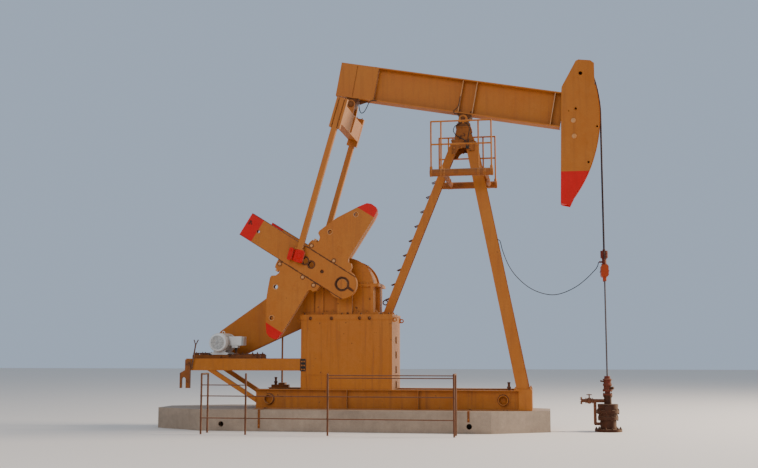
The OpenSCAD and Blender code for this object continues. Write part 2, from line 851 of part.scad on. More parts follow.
module platform_railing() {
    z0 = platform_z + platform_d / 2 + seat;
    ends = [platform_x0 + 25, platform_x1 - 35];
    color(paint) both_sides() {
        for (x = [ends[0], ends[0] + 205, ends[1] - 260, ends[1]])
            round_bar([x, -tube_y, z0], [x, -tube_y, rail_z], railing_d);
        for (z = [rail_z, mid_rail_z])
            round_bar([ends[0], -tube_y, z], [ends[1], -tube_y, z], railing_d);
        for (x = ends) translate([x, -tube_y, rail_z]) sphere(d = railing_d, $fn = 24);
    }
}

fence_xs = [-4990, -4100, -2490, -90];
fence_back = 390;
module guard_fence() {
    x0 = fence_xs[0];
    x3 = fence_xs[3];
    wire = 20;
    y = -fence_y;
    color(rust) {
        for (x = fence_xs) {
            round_bar([x, y, 0], [x, y, fence_h], fence_d);
            translate([x, y, fence_h]) sphere(d = fence_d, $fn = 24);
        }
        for (z = [310, 730]) round_bar([x0, y, z], [x3, y, z], wire, 12);
        round_bar([x0, y, 940], [fence_xs[1], y, 940], wire, 12);
        for (z = [fence_h - 20, fence_h - 70]) round_bar([fence_xs[2], y, z], [x3, y, z], wire, 12);
    }
}

// The two return ends of the fence, each on a post of its own
module fence_ends() {
    y = -fence_y;
    color(rust) for (x = [fence_xs[0], fence_xs[3]]) {
        round_bar([x, y + fence_back, 0], [x, y + fence_back, fence_h], fence_d);
        round_bar([x, y + fence_d / 2 + seat, fence_h], [x, y + fence_back, fence_h], fence_d);
        translate([x, y + fence_back, fence_h]) sphere(d = fence_d, $fn = 24);
    }
}

// Base: wellhead

well_x = head_arm;
well_bore = rod_d / 2 + 4;
spool_r = 75;
arm_z = 605;
outlet_x = well_x - 529;
drop_x = well_x - 254;
module casing_head() {
    r = casing_d / 2;
    pipe_r = 0.8 * r;
    color(rust) translate([well_x, 0, 0]) rotate_extrude($fn = 64) polygon([
        [well_bore, 0], [1.33 * r, 0], [1.33 * r, 50], [pipe_r, 50], [pipe_r, 235], [r, 235],
        [r, 290], [0.93 * r, 300], [0.93 * r, 360], [1.1 * r, 365], [1.1 * r, 420],
        [0.95 * r, 430], [r, 500], [r, 540], [spool_r, 540], [spool_r, 690],
        [1.25 * spool_r, 690], [1.25 * spool_r, 718], [well_bore, 718]
    ]);
}

// Side arm with its valve and end flange, and the pipe down beside the casing head
module flow_outlet() {
    arm_d = 70;
    drop_d = 60;
    drop_z = 150;
    valve_x = well_x - 364;
    module arm(x, length, d) {
        translate([x, 0, arm_z]) rotate([0, 90, 0]) cylinder(h = length, d = d, $fn = 32);
    }
    color(rust) difference() {
        union() {
            arm(outlet_x, well_x - outlet_x, arm_d);
            arm(outlet_x, 25, 150);
            translate([valve_x, 0, arm_z]) sphere(d = 125, $fn = 32);
            arm(valve_x - 75, 20, 110);
            arm(valve_x + 55, 20, 110);
            translate([valve_x, 0, arm_z]) cylinder(h = 130, d = 26, $fn = 24);
            translate([valve_x, 0, arm_z + 118]) rotate_extrude($fn = 32)
                translate([50, 0]) circle(d = 16, $fn = 16);
            for (a = [0, 90]) translate([valve_x, 0, arm_z + 118]) rotate([90, 0, a])
                translate([0, 0, -50]) cylinder(h = 100, d = 12, $fn = 16);
            translate([drop_x, 0, drop_z]) cylinder(h = arm_z - drop_z, d = drop_d, $fn = 32);
            translate([drop_x, 0, drop_z]) sphere(d = drop_d, $fn = 32);
            translate([drop_x, 0, drop_z]) rotate([0, 90, 0])
                cylinder(h = well_x - drop_x, d = drop_d, $fn = 32);
        }
        translate([well_x, 0, 240]) cylinder(h = 600, r = spool_r + seat, $fn = 64);
        translate([well_x, 0, 0]) cylinder(h = 236, r = 0.4 * casing_d + seat, $fn = 64);
    }
}

module stuffing_box() {
    r = stuffing_d / 2;
    bore = rod_d / 2 + fit;
    color(rust) translate([well_x, 0, 0]) rotate_extrude($fn = 64) polygon([
        [bore, 718], [1.05 * r, 718], [1.05 * r, 745], [0.62 * r, 755], [0.62 * r, 790],
        [1.1 * r, 795], [1.1 * r, 825], [0.85 * r, 835], [0.85 * r, 900], [r, 905], [r, 935],
        [0.85 * r, 945], [0.85 * r, 1005], [r, 1010], [r, 1035], [0.7 * r, 1045],
        [0.62 * r, stuffing_top], [bore, stuffing_top]
    ]);
}

cable_d = 16;
cable_route = [
    [681.5, -378, 3845.0], [697, -378, 3844], [739, -377, 3808], [782, -366, 3631],
    [864, -355, 3404], [942, -343, 3249], [1038, -328, 3115], [1170, -306, 2978],
    [1320, -280, 2862], [1478, -252, 2784], [1636, -222, 2738], [1777, -194, 2724],
    [1924, -165, 2746], [2101, -130, 2813], [2284, -95, 2916], [2464, -61, 3062],
    [2609, -32, 3209], [2656, -14, 3262], [2689, -4, 3325], [2701, 0, 3372],
    [2704, 0, 3392.5]
];

// Points on a smooth curve through a route, each span cut into a number of steps
function smooth(p, steps) = let (n = len(p)) concat(
    [for (i = [0:n - 2], k = [0:steps - 1]) let (
        t = k / steps,
        a = p[max(i - 1, 0)], b = p[i], c = p[i + 1], d = p[min(i + 2, n - 1)]
    ) 0.5 * (2 * b + (c - a) * t + (2 * a - 5 * b + 4 * c - d) * pow(t, 2)
        + (3 * b - a - 3 * c + d) * pow(t, 3))],
    [p[n - 1]]
);

module load_cell_cable() {
    color(black) swept_tube(smooth(cable_route, 4), cable_d, 8);
}

// Crank body

crank_out = crank_y + crank_t / 2;
tip_hole_x = 2088;
recess = 30;
slot_w = 60;

module crankshaft() {
    color(bare_steel) crank_frame() pin_y(shaft_d, -crank_out, crank_out);
}

module crank_profile() {
    difference() {
        union() {
            translate([0, -crank_w / 2]) square([crank_reach, crank_w]);
            circle(crank_boss_r, $fn = 96);
        }
        circle(d = shaft_d + 2 * fit, $fn = 48);
        for (i = [1, 2]) translate([crank_throw - i * hole_pitch, 0]) circle(d = hole_d, $fn = 32);
        translate([tip_hole_x, 0]) circle(d = 70, $fn = 32);
    }
}

// One crank, its outer face at y = -crank_out
module crank() {
    color(paint) difference() {
        plate_xz(crank_t, -crank_y) crank_profile();
        plate_xz(recess, -crank_out + recess / 2 - eps) union() {
            circle(d = shaft_d + 78, $fn = 48);
            translate([-crank_boss_r - eps, -slot_w / 2]) square([crank_boss_r, slot_w]);
            translate([490, 0]) circle(d = 80, $fn = 32);
        }
    }
}

module crank_near() {
    crank_frame() crank();
}

module crank_far() {
    crank_frame() mirror([0, 1, 0]) crank();
}

// Outline of one counterweight, x along the crank and y out from its centre line
module weight_profile() {
    base = crank_w / 2;
    difference() {
        polygon([
            [0, base], [15, 395], [70, 450], [130, 440], [165, 500], [160, 1480],
            [180, 1650], [240, 1692], [350, 1700], [440, 1665], [555, 1510], [810, 1100],
            [905, 880], [985, 680], [985, 625], [905, 570], [880, 500], [885, 460],
            [1010, 445], [1030, 385], [1040, base]
        ]);
        for (p = [[512, 1350], [783, 770]]) translate(p) circle(d = 90, $fn = 32);
    }
}

// The upper and the lower weight of one crank, each slid along it by its own shift
module weight_pair(y, shift_up, shift_low) {
    panel = 8;
    color(paint) crank_frame() difference() {
        union() for (weight = [[shift_up, 0], [shift_low, 1]])
            mirror([0, 0, 1 - weight[1]]) translate([weight[0], 0, 0])
                plate_xz(crank_t, y) weight_profile();
        plate_xz(crank_t + 2 * eps, y) circle(crank_boss_r + seat, $fn = 96);
        for (weight = [[shift_up, 0], [shift_low, 1]])
            mirror([0, 0, 1 - weight[1]]) translate([weight[0], 0, 0])
                plate_xz(panel, sign(y) * (crank_out - panel / 2 + eps)) polygon([
                    [330, 520], [470, 520], [470, 620], [330, 620]
                ]);
    }
}

module weights_near() {
    weight_pair(-crank_y, shift_near_up, shift_near_low);
}

module weights_far() {
    weight_pair(crank_y, shift_far_up, shift_far_low);
}

module wrist_pins() {
    color(bare_steel) crank_frame() both_sides() translate([crank_throw, 0, 0])
        pin_y(wrist_d, -crank_out - 25, -crank_out);
}

// Beam body

module walking_beam() {
    half = beam_flange / 2;
    clear = beam_h - 2 * beam_flange_t;
    side_t = 12;
    seam_x = -beam_tail + 362;
    color(paint) beam_frame() {
        translate([-beam_tail, 0, beam_seat])
            i_beam(beam_tail + beam_nose, beam_h, beam_flange, beam_flange_t, beam_web_t);
        both_sides() for (span = [[-beam_tail, seam_x - 10], [seam_x + 10, -beam_tail + tail_box]])
            translate([span[0], -half, beam_seat + beam_flange_t])
                cube([span[1] - span[0], side_t, clear]);
        for (x = [-beam_tail, seam_x - 8, -beam_tail + tail_box - side_t, -155, 143, 1780])
            translate([x, -half + 12, beam_seat + beam_flange_t])
                cube([side_t, beam_flange - 24, clear]);
    }
}

face_r = head_arm - rope_d / 2 - track_t - seat;

// Outline of the head, its curved face about the saddle bearing and its foot as given
face_high = 24;
function face_arc(a0) = [for (a = [a0:1:face_high]) face_r * [cos(a), sin(a)]];
module head_profile(foot) {
    polygon(concat(
        [[1890, 990], [1894, 930], [2262, -1395], [2292, -1420]], foot,
        [[2462, 1579], [2377, 1625], [2135, 1609], [2085, 1575]]
    ));
}

// The face keeps to the arc down to the foot, where the side plates reach past the ropes
module side_outline() {
    head_profile(concat([[2462, -1428]], face_arc(-24)));
}

module face_outline() {
    head_profile(face_arc(-30));
}

// Band about the saddle bearing between two radii, across y0 to y1
module arc_band(r0, r1, y0, y1, a0, a1) {
    steps = ceil(a1 - a0);
    plate_xz(y1 - y0, (y0 + y1) / 2)
        polygon(concat(arc_points(r1, a0, a1, steps), arc_points(r0, a1, a0, steps)));
}

rope_room = 4;
head_holes = [[2223, 1326, 80], [2246, 574, 50], [2735, 270, 40], [2681, -491, 45], [2115, 506, 25]];
module horsehead() {
    half_w = beam_flange / 2;
    color(paint) beam_frame() {
        both_sides() plate_xz(head_plate, -half_w - head_plate / 2) difference() {
            side_outline();
            for (hole = head_holes) translate([hole[0], hole[1]]) circle(d = hole[2], $fn = 24);
        }
        difference() {
            plate_xz(beam_flange) difference() {
                face_outline();
                offset(delta = -head_plate) face_outline();
            }
            translate([1800, -half_w - eps, beam_seat - seat])
                cube([300, beam_flange + 2 * eps, beam_h + 2 * seat]);
            for (s = [-1, 1])
                arc_band(head_arm - rope_d / 2 - rope_room, head_arm + rope_d,
                    s * rope_y - rope_d / 2 - rope_room, s * rope_y + rope_d / 2 + rope_room,
                    face_high + 0.5, arc_high + 1.5);
        }
        for (s = [-1, 1])
            arc_band(face_r, face_r + track_t, s * rope_y - track_w / 2, s * rope_y + track_w / 2,
                arc_low, face_high);
    }
}

saddle_block_y = 130;
module saddle_shaft() {
    color(bare_steel) beam_frame() {
        pin_y(saddle_d, -housing_y1 - 30, housing_y1 + 30);
        plate_xz(2 * saddle_block_y) union() {
            circle(82, $fn = 48);
            polygon([
                [-150, beam_seat], [-150, beam_seat - 30], [-82, 30], [-82, 0], [82, 0],
                [82, 30], [150, beam_seat - 30], [150, beam_seat]
            ]);
        }
    }
}

tail_y = 110;
module tail_bearing() {
    color(paint) beam_frame() translate([-tail_arm, 0, 0]) {
        difference() {
            plate_xz(2 * tail_y) union() {
                circle(95, $fn = 48);
                polygon([
                    [-150, beam_seat], [-150, beam_seat - 30], [-95, 60], [-95, 0], [95, 0],
                    [95, 60], [150, beam_seat - 30], [150, beam_seat]
                ]);
            }
            pin_y(eq_d + 2 * fit, -tail_y - eps, tail_y + eps);
        }
        plate_xz(24) polygon([[150, beam_seat], [350, beam_seat], [150, beam_seat - 100]]);
    }
}

// The ropes lie on the tracks from the point where they leave the head upwards
module bridle_wrap() {
    steps = ceil(rope_wrap);
    color(bare_steel) beam_frame() for (s = [-1, 1])
        swept_tube([for (p = arc_points(head_arm, beam_tilt, arc_high, steps)) [p[0], s * rope_y, p[1]]],
            rope_d, 12);
}

// Pitman body

end_y0 = pitman_y - pitman_t / 2;
end_y1 = pitman_y + pitman_t / 2;
end_w = eq_w + 10;
end_low = eq_drop + eq_h + 120;
lug_y0 = 130;
lug_y1 = 190;
module equalizer() {
    wall = 14;
    groove = 26;
    color(paint) pitman_frame() {
        plate_xz(2 * end_y0) difference() {
            translate([-eq_w / 2, -eq_drop - eq_h]) square([eq_w, eq_h]);
            translate([-eq_w / 2 + wall, -eq_drop - eq_h + wall])
                square([eq_w - 2 * wall, eq_h - 2 * wall]);
        }
        translate([eq_w / 2, -8, -eq_drop - eq_h + 20]) cube([30, 16, eq_h - 40]);
        both_sides() difference() {
            translate([-end_w / 2, -end_y1, -end_low]) cube([end_w, pitman_t, end_low - 70]);
            for (x = [-58, 58])
                translate([x - groove / 2, -end_y1 - eps, -end_low - eps])
                    cube([groove, 32, end_low]);
        }
        both_sides() difference() {
            plate_xz(lug_y1 - lug_y0, -(lug_y0 + lug_y1) / 2) union() {
                circle(92, $fn = 48);
                polygon([[-92, 0], [-105, -eq_drop], [105, -eq_drop], [92, 0]]);
            }
            pin_y(eq_d + 2 * fit, -lug_y1 - eps, -lug_y0 + eps);
        }
    }
}

module equalizer_shaft() {
    color(bare_steel) pitman_frame() pin_y(eq_d, -lug_y1, lug_y1);
}

bearing_top = 143;
module pitmans() {
    bevel = 12;
    w = pitman_w / 2;
    t = pitman_t / 2;
    length = pitman_len - bearing_top - end_low;
    color(paint) pitman_frame() both_sides()
        translate([0, -pitman_y, -pitman_len + bearing_top]) {
            linear_extrude(length) polygon([
                [-w, -t + bevel], [-w + bevel, -t], [w - bevel, -t], [w, -t + bevel],
                [w, t - bevel], [w - bevel, t], [-w + bevel, t], [-w, t - bevel]
            ]);
            translate([-85, -t, 0]) cube([170, pitman_t, 25]);
        }
}

// Each bearing has a broad lobe on the pitman's line, a narrow one beside it and a slot between
module wrist_bearings() {
    low = -118;
    back = 32;
    module lobe(x0, x1, cut) {
        plate_xz(pitman_t - back, -end_y1 + (pitman_t - back) / 2) polygon([
            [x0 + cut, low], [x1 - cut, low], [x1, low + cut], [x1, bearing_top - cut],
            [x1 - cut, bearing_top], [x0 + cut, bearing_top], [x0, bearing_top - cut], [x0, low + cut]
        ]);
    }
    color(red_paint) pitman_frame() both_sides() translate([0, 0, -pitman_len]) {
        plate_xz(back, -end_y0 - back / 2) polygon([
            [-195, low + 12], [120, low + 12], [120, bearing_top - 12], [-195, bearing_top - 12]
        ]);
        lobe(-62, 130, 34);
        lobe(-200, -108, 22);
    }
}

// Rod body

carrier_top = carrier_z + carrier_h;
cell_top = carrier_top + 147;
clamp_top = cell_top + 143;
carrier_half = 75;
socket_h = 82;
module carrier_bar() {
    color(paint) difference() {
        union() {
            plate_xz(2 * (rope_y + 75)) translate([head_arm, 0]) polygon([
                [-carrier_half, carrier_z + 30], [-carrier_half + 25, carrier_z],
                [carrier_half - 25, carrier_z], [carrier_half, carrier_z + 30],
                [carrier_half, carrier_top - 30], [carrier_half - 25, carrier_top],
                [-carrier_half + 25, carrier_top], [-carrier_half, carrier_top - 30]
            ]);
            for (s = [-1, 1]) translate([head_arm, s * rope_y, carrier_z - socket_h])
                cylinder(h = socket_h, d = 64, $fn = 32);
        }
        translate([head_arm, 0, carrier_z - eps])
            cylinder(h = carrier_h + 2 * eps, d = rod_d + 2 * fit, $fn = 48);
    }
}

// Runs from the ground, inside the wellhead, to its top between the ropes
module polished_rod() {
    color(bare_steel) translate([head_arm, 0, 10]) cylinder(h = rod_top - 10, d = rod_d, $fn = 48);
}

cell_d = 104;
plug_z = carrier_top + 66;
module rod_clamp() {
    color(black) difference() {
        translate([head_arm, 0, 0]) {
            rotate_extrude($fn = 48) polygon([
                [0, carrier_top], [cell_d / 2 + 8, carrier_top], [cell_d / 2 + 8, carrier_top + 22],
                [cell_d / 2 - 8, carrier_top + 34], [cell_d / 2 - 8, cell_top - 30],
                [cell_d / 2, cell_top - 20], [cell_d / 2, cell_top], [0, cell_top]
            ]);
            translate([0, 0, plug_z]) rotate([0, -90, 0]) cylinder(h = 106, d = 34, $fn = 24);
            translate([0, 0, cell_top]) linear_extrude(clamp_top - cell_top) polygon([
                [-72, -50], [-50, -72], [50, -72], [72, -50], [72, 50], [50, 72], [-50, 72], [-72, 50]
            ]);
        }
        translate([head_arm, 0, carrier_top - eps]) cylinder(h = 400, d = rod_d + 2 * fit, $fn = 48);
        translate([head_arm - 5, rod_d / 2 + 1, cell_top]) cube([10, 80, 200]);
    }
}

module bridle_ropes() {
    color(bare_steel) for (s = [-1, 1])
        translate([head_arm, s * rope_y, carrier_top])
            cylinder(h = pivot_z - rope_gap - carrier_top, d = rope_d, $fn = 16);
}

concrete_base();
hold_down_straps();
skid_beams();
skid_cross_members();
pedestal_sides();
pedestal_ends();
pedestal_top();
gear_case();
gear_cover();
belt_guard();
guard_support();
motor();
motor_rails();
motor_platform();
platform_crossbars();
platform_brackets();
platform_braces();
brake_lever();
front_legs();
rear_leg();
post_cap();
saddle_bearings();
work_platform();
platform_cross_tubes();
platform_railing();
guard_fence();
fence_ends();
casing_head();
flow_outlet();
stuffing_box();
load_cell_cable();
crankshaft();
crank_near();
crank_far();
weights_near();
weights_far();
wrist_pins();
walking_beam();
horsehead();
saddle_shaft();
tail_bearing();
bridle_wrap();
equalizer();
equalizer_shaft();
pitmans();
wrist_bearings();
carrier_bar();
polished_rod();
rod_clamp();
bridle_ropes();
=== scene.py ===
"""Finishes, fittings and studio for the crank-balanced pumping unit.

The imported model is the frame. Every length is in metres in the model's own
frame: +X to the horsehead, +Y away from the fenced side, +Z up.
"""

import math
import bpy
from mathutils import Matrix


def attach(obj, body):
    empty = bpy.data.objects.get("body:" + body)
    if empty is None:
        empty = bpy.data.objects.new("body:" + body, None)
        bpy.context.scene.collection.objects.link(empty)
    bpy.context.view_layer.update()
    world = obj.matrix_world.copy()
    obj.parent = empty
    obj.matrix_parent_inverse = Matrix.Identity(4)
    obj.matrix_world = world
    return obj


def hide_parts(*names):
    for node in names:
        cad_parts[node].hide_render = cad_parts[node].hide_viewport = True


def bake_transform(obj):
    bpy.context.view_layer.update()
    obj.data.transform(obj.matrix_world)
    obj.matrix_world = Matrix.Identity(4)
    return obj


bl_info = {
    "name": "Pumping unit finishes",
    "version": (1, 0, 0),
    "blender": (4, 5, 0),
    "location": "3D View > Sidebar > Pumping unit",
    "description": "Paints and fits out the packed pumping unit and sets its studio",
    "category": "Object",
}

import bmesh
import bpy
from bpy.props import FloatProperty, FloatVectorProperty, PointerProperty
from mathutils import Matrix, Vector

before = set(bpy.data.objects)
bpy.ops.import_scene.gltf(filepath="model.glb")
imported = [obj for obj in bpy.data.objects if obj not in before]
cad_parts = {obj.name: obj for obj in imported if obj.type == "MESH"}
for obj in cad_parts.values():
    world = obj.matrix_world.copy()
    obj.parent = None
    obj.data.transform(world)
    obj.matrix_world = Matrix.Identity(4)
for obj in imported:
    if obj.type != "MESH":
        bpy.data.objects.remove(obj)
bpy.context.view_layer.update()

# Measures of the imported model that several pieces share, in metres
SADDLE_Z = 6.4
HEAD_ARM = 2.819
TAIL_ARM = 2.44
THROW = 1.067
ROPE_Y = 0.11
ROPE_WIDTH = 0.028
ROPE_LAY = 0.17
CRANK_FACE = 0.86
PIN_HOLES = (0.7622, 0.9146)
BEARING_FACE = 1.0
HEAD_FACE = 0.157

UP, DOWN = (0, 0, 1), (0, 0, -1)

SADDLE = Vector((0.0, 0.0, SADDLE_Z))
SHAFT = Vector((-TAIL_ARM, 0.0, 2.945))
CRANK_ANGLE = math.radians(148)
TILT = math.radians(10.36)
TAIL = SADDLE + TAIL_ARM * Vector((-math.cos(TILT), 0, math.sin(TILT)))
PIN = SHAFT + THROW * Vector((math.cos(CRANK_ANGLE), 0, math.sin(CRANK_ANGLE)))
PITMAN_LENGTH = (TAIL - PIN).length
LEAN = math.atan2(TAIL.x - PIN.x, TAIL.z - PIN.z)


def colour_property(name, description, default):
    """Colour of one paint or metal."""
    return FloatVectorProperty(
        name=name, description=description, default=default, subtype="COLOR", size=3, min=0, max=1
    )


class PaintColours(bpy.types.PropertyGroup):
    """Colours of the paints and metals."""

    tan: colour_property("Tan paint", "Paint of the structure", (0.43, 0.125, 0.012))
    faded: colour_property(
        "Faded tan", "Tan paint where the sun has bleached it", (0.50, 0.185, 0.035)
    )
    red: colour_property(
        "Red paint", "Paint of the wrist bearings and tips", (0.55, 0.002, 0.0005)
    )
    white: colour_property("Motor white", "Paint of the motor", (0.72, 0.72, 0.70))
    rust: colour_property("Rust", "Rusted steel", (0.10, 0.035, 0.016))
    dust: colour_property("Dust", "Dust that settles on upper faces", (0.50, 0.33, 0.20))
    steel: colour_property("Bare steel", "Pins, shafts and the polished rod", (0.11, 0.092, 0.09))
    concrete: colour_property("Concrete", "Portable concrete base", (0.29, 0.215, 0.155))


class StudioSizes(bpy.types.PropertyGroup):
    """Camera and floor."""

    camera_at: FloatVectorProperty(
        name="Camera", description="Where the camera stands", subtype="TRANSLATION", size=3,
        default=(1.6167, -21.1216, 1.55),
    )
    turn: FloatProperty(
        name="Turn", description="Camera turned to the tail of the unit",
        default=0.1613, subtype="ANGLE",
    )
    pitch: FloatProperty(
        name="Pitch", description="Camera tilted up", default=0.1164, subtype="ANGLE",
    )
    view_angle: FloatProperty(
        name="Angle of view", description="Horizontal angle of view",
        default=0.7117, subtype="ANGLE",
    )
    floor_width: FloatProperty(
        name="Floor", description="Width of the studio floor", default=160, subtype="DISTANCE",
    )


# Shader helpers


def put(tree, kind, inputs=None, **settings):
    """Adds a node, sets its settings and fills or links its inputs."""
    node = tree.nodes.new(kind)
    for name, value in settings.items():
        setattr(node, name, value)
    for socket, value in (inputs or {}).items():
        if isinstance(value, bpy.types.NodeSocket):
            tree.links.new(value, node.inputs[socket])
        else:
            node.inputs[socket].default_value = value
    return node


def calc(tree, operation, a, b=0.0, clamp=False):
    """Adds a Math node and gives its result."""
    node = put(tree, "ShaderNodeMath", {0: a, 1: b}, operation=operation, use_clamp=clamp)
    return node.outputs[0]


def spread(tree, value, low, high, to_low=0.0, to_high=1.0):
    """Stretches a value from low..high to to_low..to_high, clamped."""
    node = put(
        tree, "ShaderNodeMapRange",
        {0: value, 1: low, 2: high, 3: to_low, 4: to_high}, clamp=True,
    )
    return node.outputs[0]


def mix(tree, factor, a, b, blend="MIX"):
    """Blends two colours by a factor."""
    node = tree.nodes.new("ShaderNodeMix")
    node.data_type = "RGBA"
    node.blend_type = blend
    for index, value in ((0, factor), (6, a), (7, b)):
        if isinstance(value, bpy.types.NodeSocket):
            tree.links.new(value, node.inputs[index])
        elif index == 0:
            node.inputs[0].default_value = value
        else:
            node.inputs[index].default_value = (*value[:3], 1)
    return node.outputs[2]


def noise(tree, place, scale, detail=4, rough=0.55):
    """Noise of a given scale at a place."""
    return put(
        tree, "ShaderNodeTexNoise",
        {"Vector": place, "Scale": scale, "Detail": detail, "Roughness": rough},
    ).outputs[0]


def new_group(name, inputs, outputs):
    """Adds an empty node group with its sockets."""
    group = bpy.data.node_groups.new(name, "ShaderNodeTree")
    for label, kind, default in inputs:
        socket = group.interface.new_socket(label, in_out="INPUT", socket_type=kind)
        socket.default_value = default
    for label, kind in outputs:
        group.interface.new_socket(label, in_out="OUTPUT", socket_type=kind)
    source = group.nodes.new("NodeGroupInput")
    sink = group.nodes.new("NodeGroupOutput")
    return group, source.outputs, sink.inputs


COLOUR = "NodeSocketColor"
VALUE = "NodeSocketFloat"


def weathering_group():
    """Faded paint with rust specks and streaks, chalky paint and painted sunlight on faces
    towards the sun, and dust on upper faces.
    """
    group, given, out = new_group(
        "weathering",
        [
            ("Paint", COLOUR, (0.4, 0.2, 0.1, 1)), ("Faded", COLOUR, (0.5, 0.3, 0.2, 1)),
            ("Rust", COLOUR, (0.1, 0.04, 0.02, 1)), ("Dust", COLOUR, (0.5, 0.35, 0.2, 1)),
            ("Fading", VALUE, 0.5), ("Rusting", VALUE, 0.3),
            ("Dusting", VALUE, 0.5), ("Chalk_and_sunlight", VALUE, 0.5),
        ],
        [("Colour", COLOUR), ("Roughness", VALUE), ("Height", VALUE)],
    )

    def times(a, b):
        return calc(group, "MULTIPLY", a, b)

    place = put(group, "ShaderNodeTexCoord").outputs["Object"]
    wide = noise(group, place, 1.3, 5)
    close = noise(group, place, 9, 6, 0.6)
    grain = noise(group, place, 90, 3)
    tall = put(group, "ShaderNodeVectorMath", {0: place, 1: (7, 7, 0.45)}, operation="MULTIPLY")
    runs = noise(group, tall.outputs[0], 1.6, 5, 0.65)
    patch = calc(group, "ADD", times(wide, 0.6), times(close, 0.4))

    fade = times(spread(group, patch, 0.38, 0.66), given["Fading"])
    colour = mix(group, fade, given["Paint"], given["Faded"])
    streak = times(spread(group, runs, 0.49, 0.74), times(given["Rusting"], 0.75))
    colour = mix(group, streak, colour, given["Rust"])
    limit = calc(group, "SUBTRACT", 0.78, times(given["Rusting"], 0.25))
    speck = spread(group, calc(group, "SUBTRACT", close, limit), 0.0, 0.05)
    colour = mix(group, speck, colour, given["Rust"])

    normal = put(group, "ShaderNodeNewGeometry").outputs["Normal"]
    sunward, _, upward = put(group, "ShaderNodeSeparateXYZ", {0: normal}).outputs
    # Faces towards +X, where the sun falls, are made paler: partly chalky paint, partly painted
    # sunlight
    chalk_and_sun_mask = times(spread(group, sunward, 0.5, 0.95), spread(group, patch, 0.35, 0.6, 0.75, 1))
    colour = mix(group, times(chalk_and_sun_mask, given["Chalk_and_sunlight"]), colour, given["Dust"])
    settled = times(spread(group, upward, 0.45, 0.95), spread(group, wide, 0.2, 0.6, 0.4, 1))
    settled = times(settled, given["Dusting"])
    colour = mix(group, settled, colour, given["Dust"])
    tint = spread(group, grain, 0.3, 0.7, 0.9, 1.08)
    shade = put(group, "ShaderNodeCombineColor", {0: tint, 1: tint, 2: tint}).outputs[0]
    colour = mix(group, 1.0, colour, shade, "MULTIPLY")

    rough = spread(group, patch, 0.3, 0.7, 0.42, 0.62)
    rough = calc(group, "ADD", rough, times(speck, 0.3), True)
    rough = calc(group, "ADD", rough, times(settled, 0.25), True)
    height = calc(group, "ADD", times(close, 0.6), times(grain, 0.4))
    height = calc(group, "SUBTRACT", height, times(speck, 0.3))
    for name, value in (("Colour", colour), ("Roughness", rough), ("Height", height)):
        group.links.new(value, out[name])
    return group


def toned(colour, share):
    """A colour made darker or lighter."""
    return [part * share for part in colour]


def weathered(
    name, paint, faded, fading=0.5, rusting=0.3, dusting=0.5, metal=0.0, bump=0.004,
    second=None, dark=None, chalk_and_sunlight_amount=0.5,
):
    """A weathered material.

    second is (colour, mask maker) for a second paint, dark makes a mask of painted shade, and the
    last one says how pale the faces towards the sun are made, partly chalky paint and partly
    painted sunlight.
    """
    colours = bpy.context.scene.pump_colours
    material = bpy.data.materials.new(name)
    material.use_nodes = True
    tree = material.node_tree
    tree.nodes.clear()
    first = (*paint, 1)
    group = bpy.data.node_groups.get("weathering") or weathering_group()
    values = {
        "Paint": first, "Faded": (*faded, 1), "Rust": (*colours.rust, 1),
        "Dust": (*colours.dust, 1), "Fading": fading, "Rusting": rusting,
        "Dusting": dusting, "Chalk_and_sunlight": chalk_and_sunlight_amount,
    }
    coat = put(tree, "ShaderNodeGroup", node_tree=group)
    for label, value in values.items():
        coat.inputs[label].default_value = value
    if second:
        mask = second[1](tree)
        tree.links.new(mix(tree, mask, first, second[0]), coat.inputs["Paint"])
        bleached = [min(1, part * 1.25 + 0.02) for part in second[0]]
        tree.links.new(mix(tree, mask, faded, bleached), coat.inputs["Faded"])
    relief = put(
        tree, "ShaderNodeBump",
        {"Height": coat.outputs["Height"], "Distance": bump, "Strength": 0.6},
    )
    colour = coat.outputs["Colour"]
    # Painted shade: a near-black colour laid along the gaps and in the holes and recesses of
    # cranks and weights
    if dark:
        painted_shade_mask = calc(tree, "MULTIPLY", dark(tree), 0.85)
        colour = mix(tree, painted_shade_mask, colour, toned(colours.rust, 0.35))
    surface = put(
        tree, "ShaderNodeBsdfPrincipled",
        {
            "Base Color": colour, "Roughness": coat.outputs["Roughness"],
            "Normal": relief.outputs[0], "Metallic": metal, "Specular IOR Level": 0.2,
        },
    )
    put(tree, "ShaderNodeOutputMaterial", {"Surface": surface.outputs[0]})
    return material


# Half the width of the edge where two paints meet
PAINT_EDGE = 0.004


def reach(tree, direction):
    """How far a point of the surface lies along a direction."""
    place = put(tree, "ShaderNodeTexCoord").outputs["Object"]
    dot = put(tree, "ShaderNodeVectorMath", {0: place, 1: direction}, operation="DOT_PRODUCT")
    return dot.outputs["Value"]


def beyond(direction, limit, middle=None):
    """Mask of what lies beyond limit along a direction, or further than limit from middle."""

    def build(tree):
        along = reach(tree, direction)
        if middle is not None:
            along = calc(tree, "ABSOLUTE", calc(tree, "SUBTRACT", along, middle))
        return spread(tree, along, limit - PAINT_EDGE, limit + PAINT_EDGE)

    return build


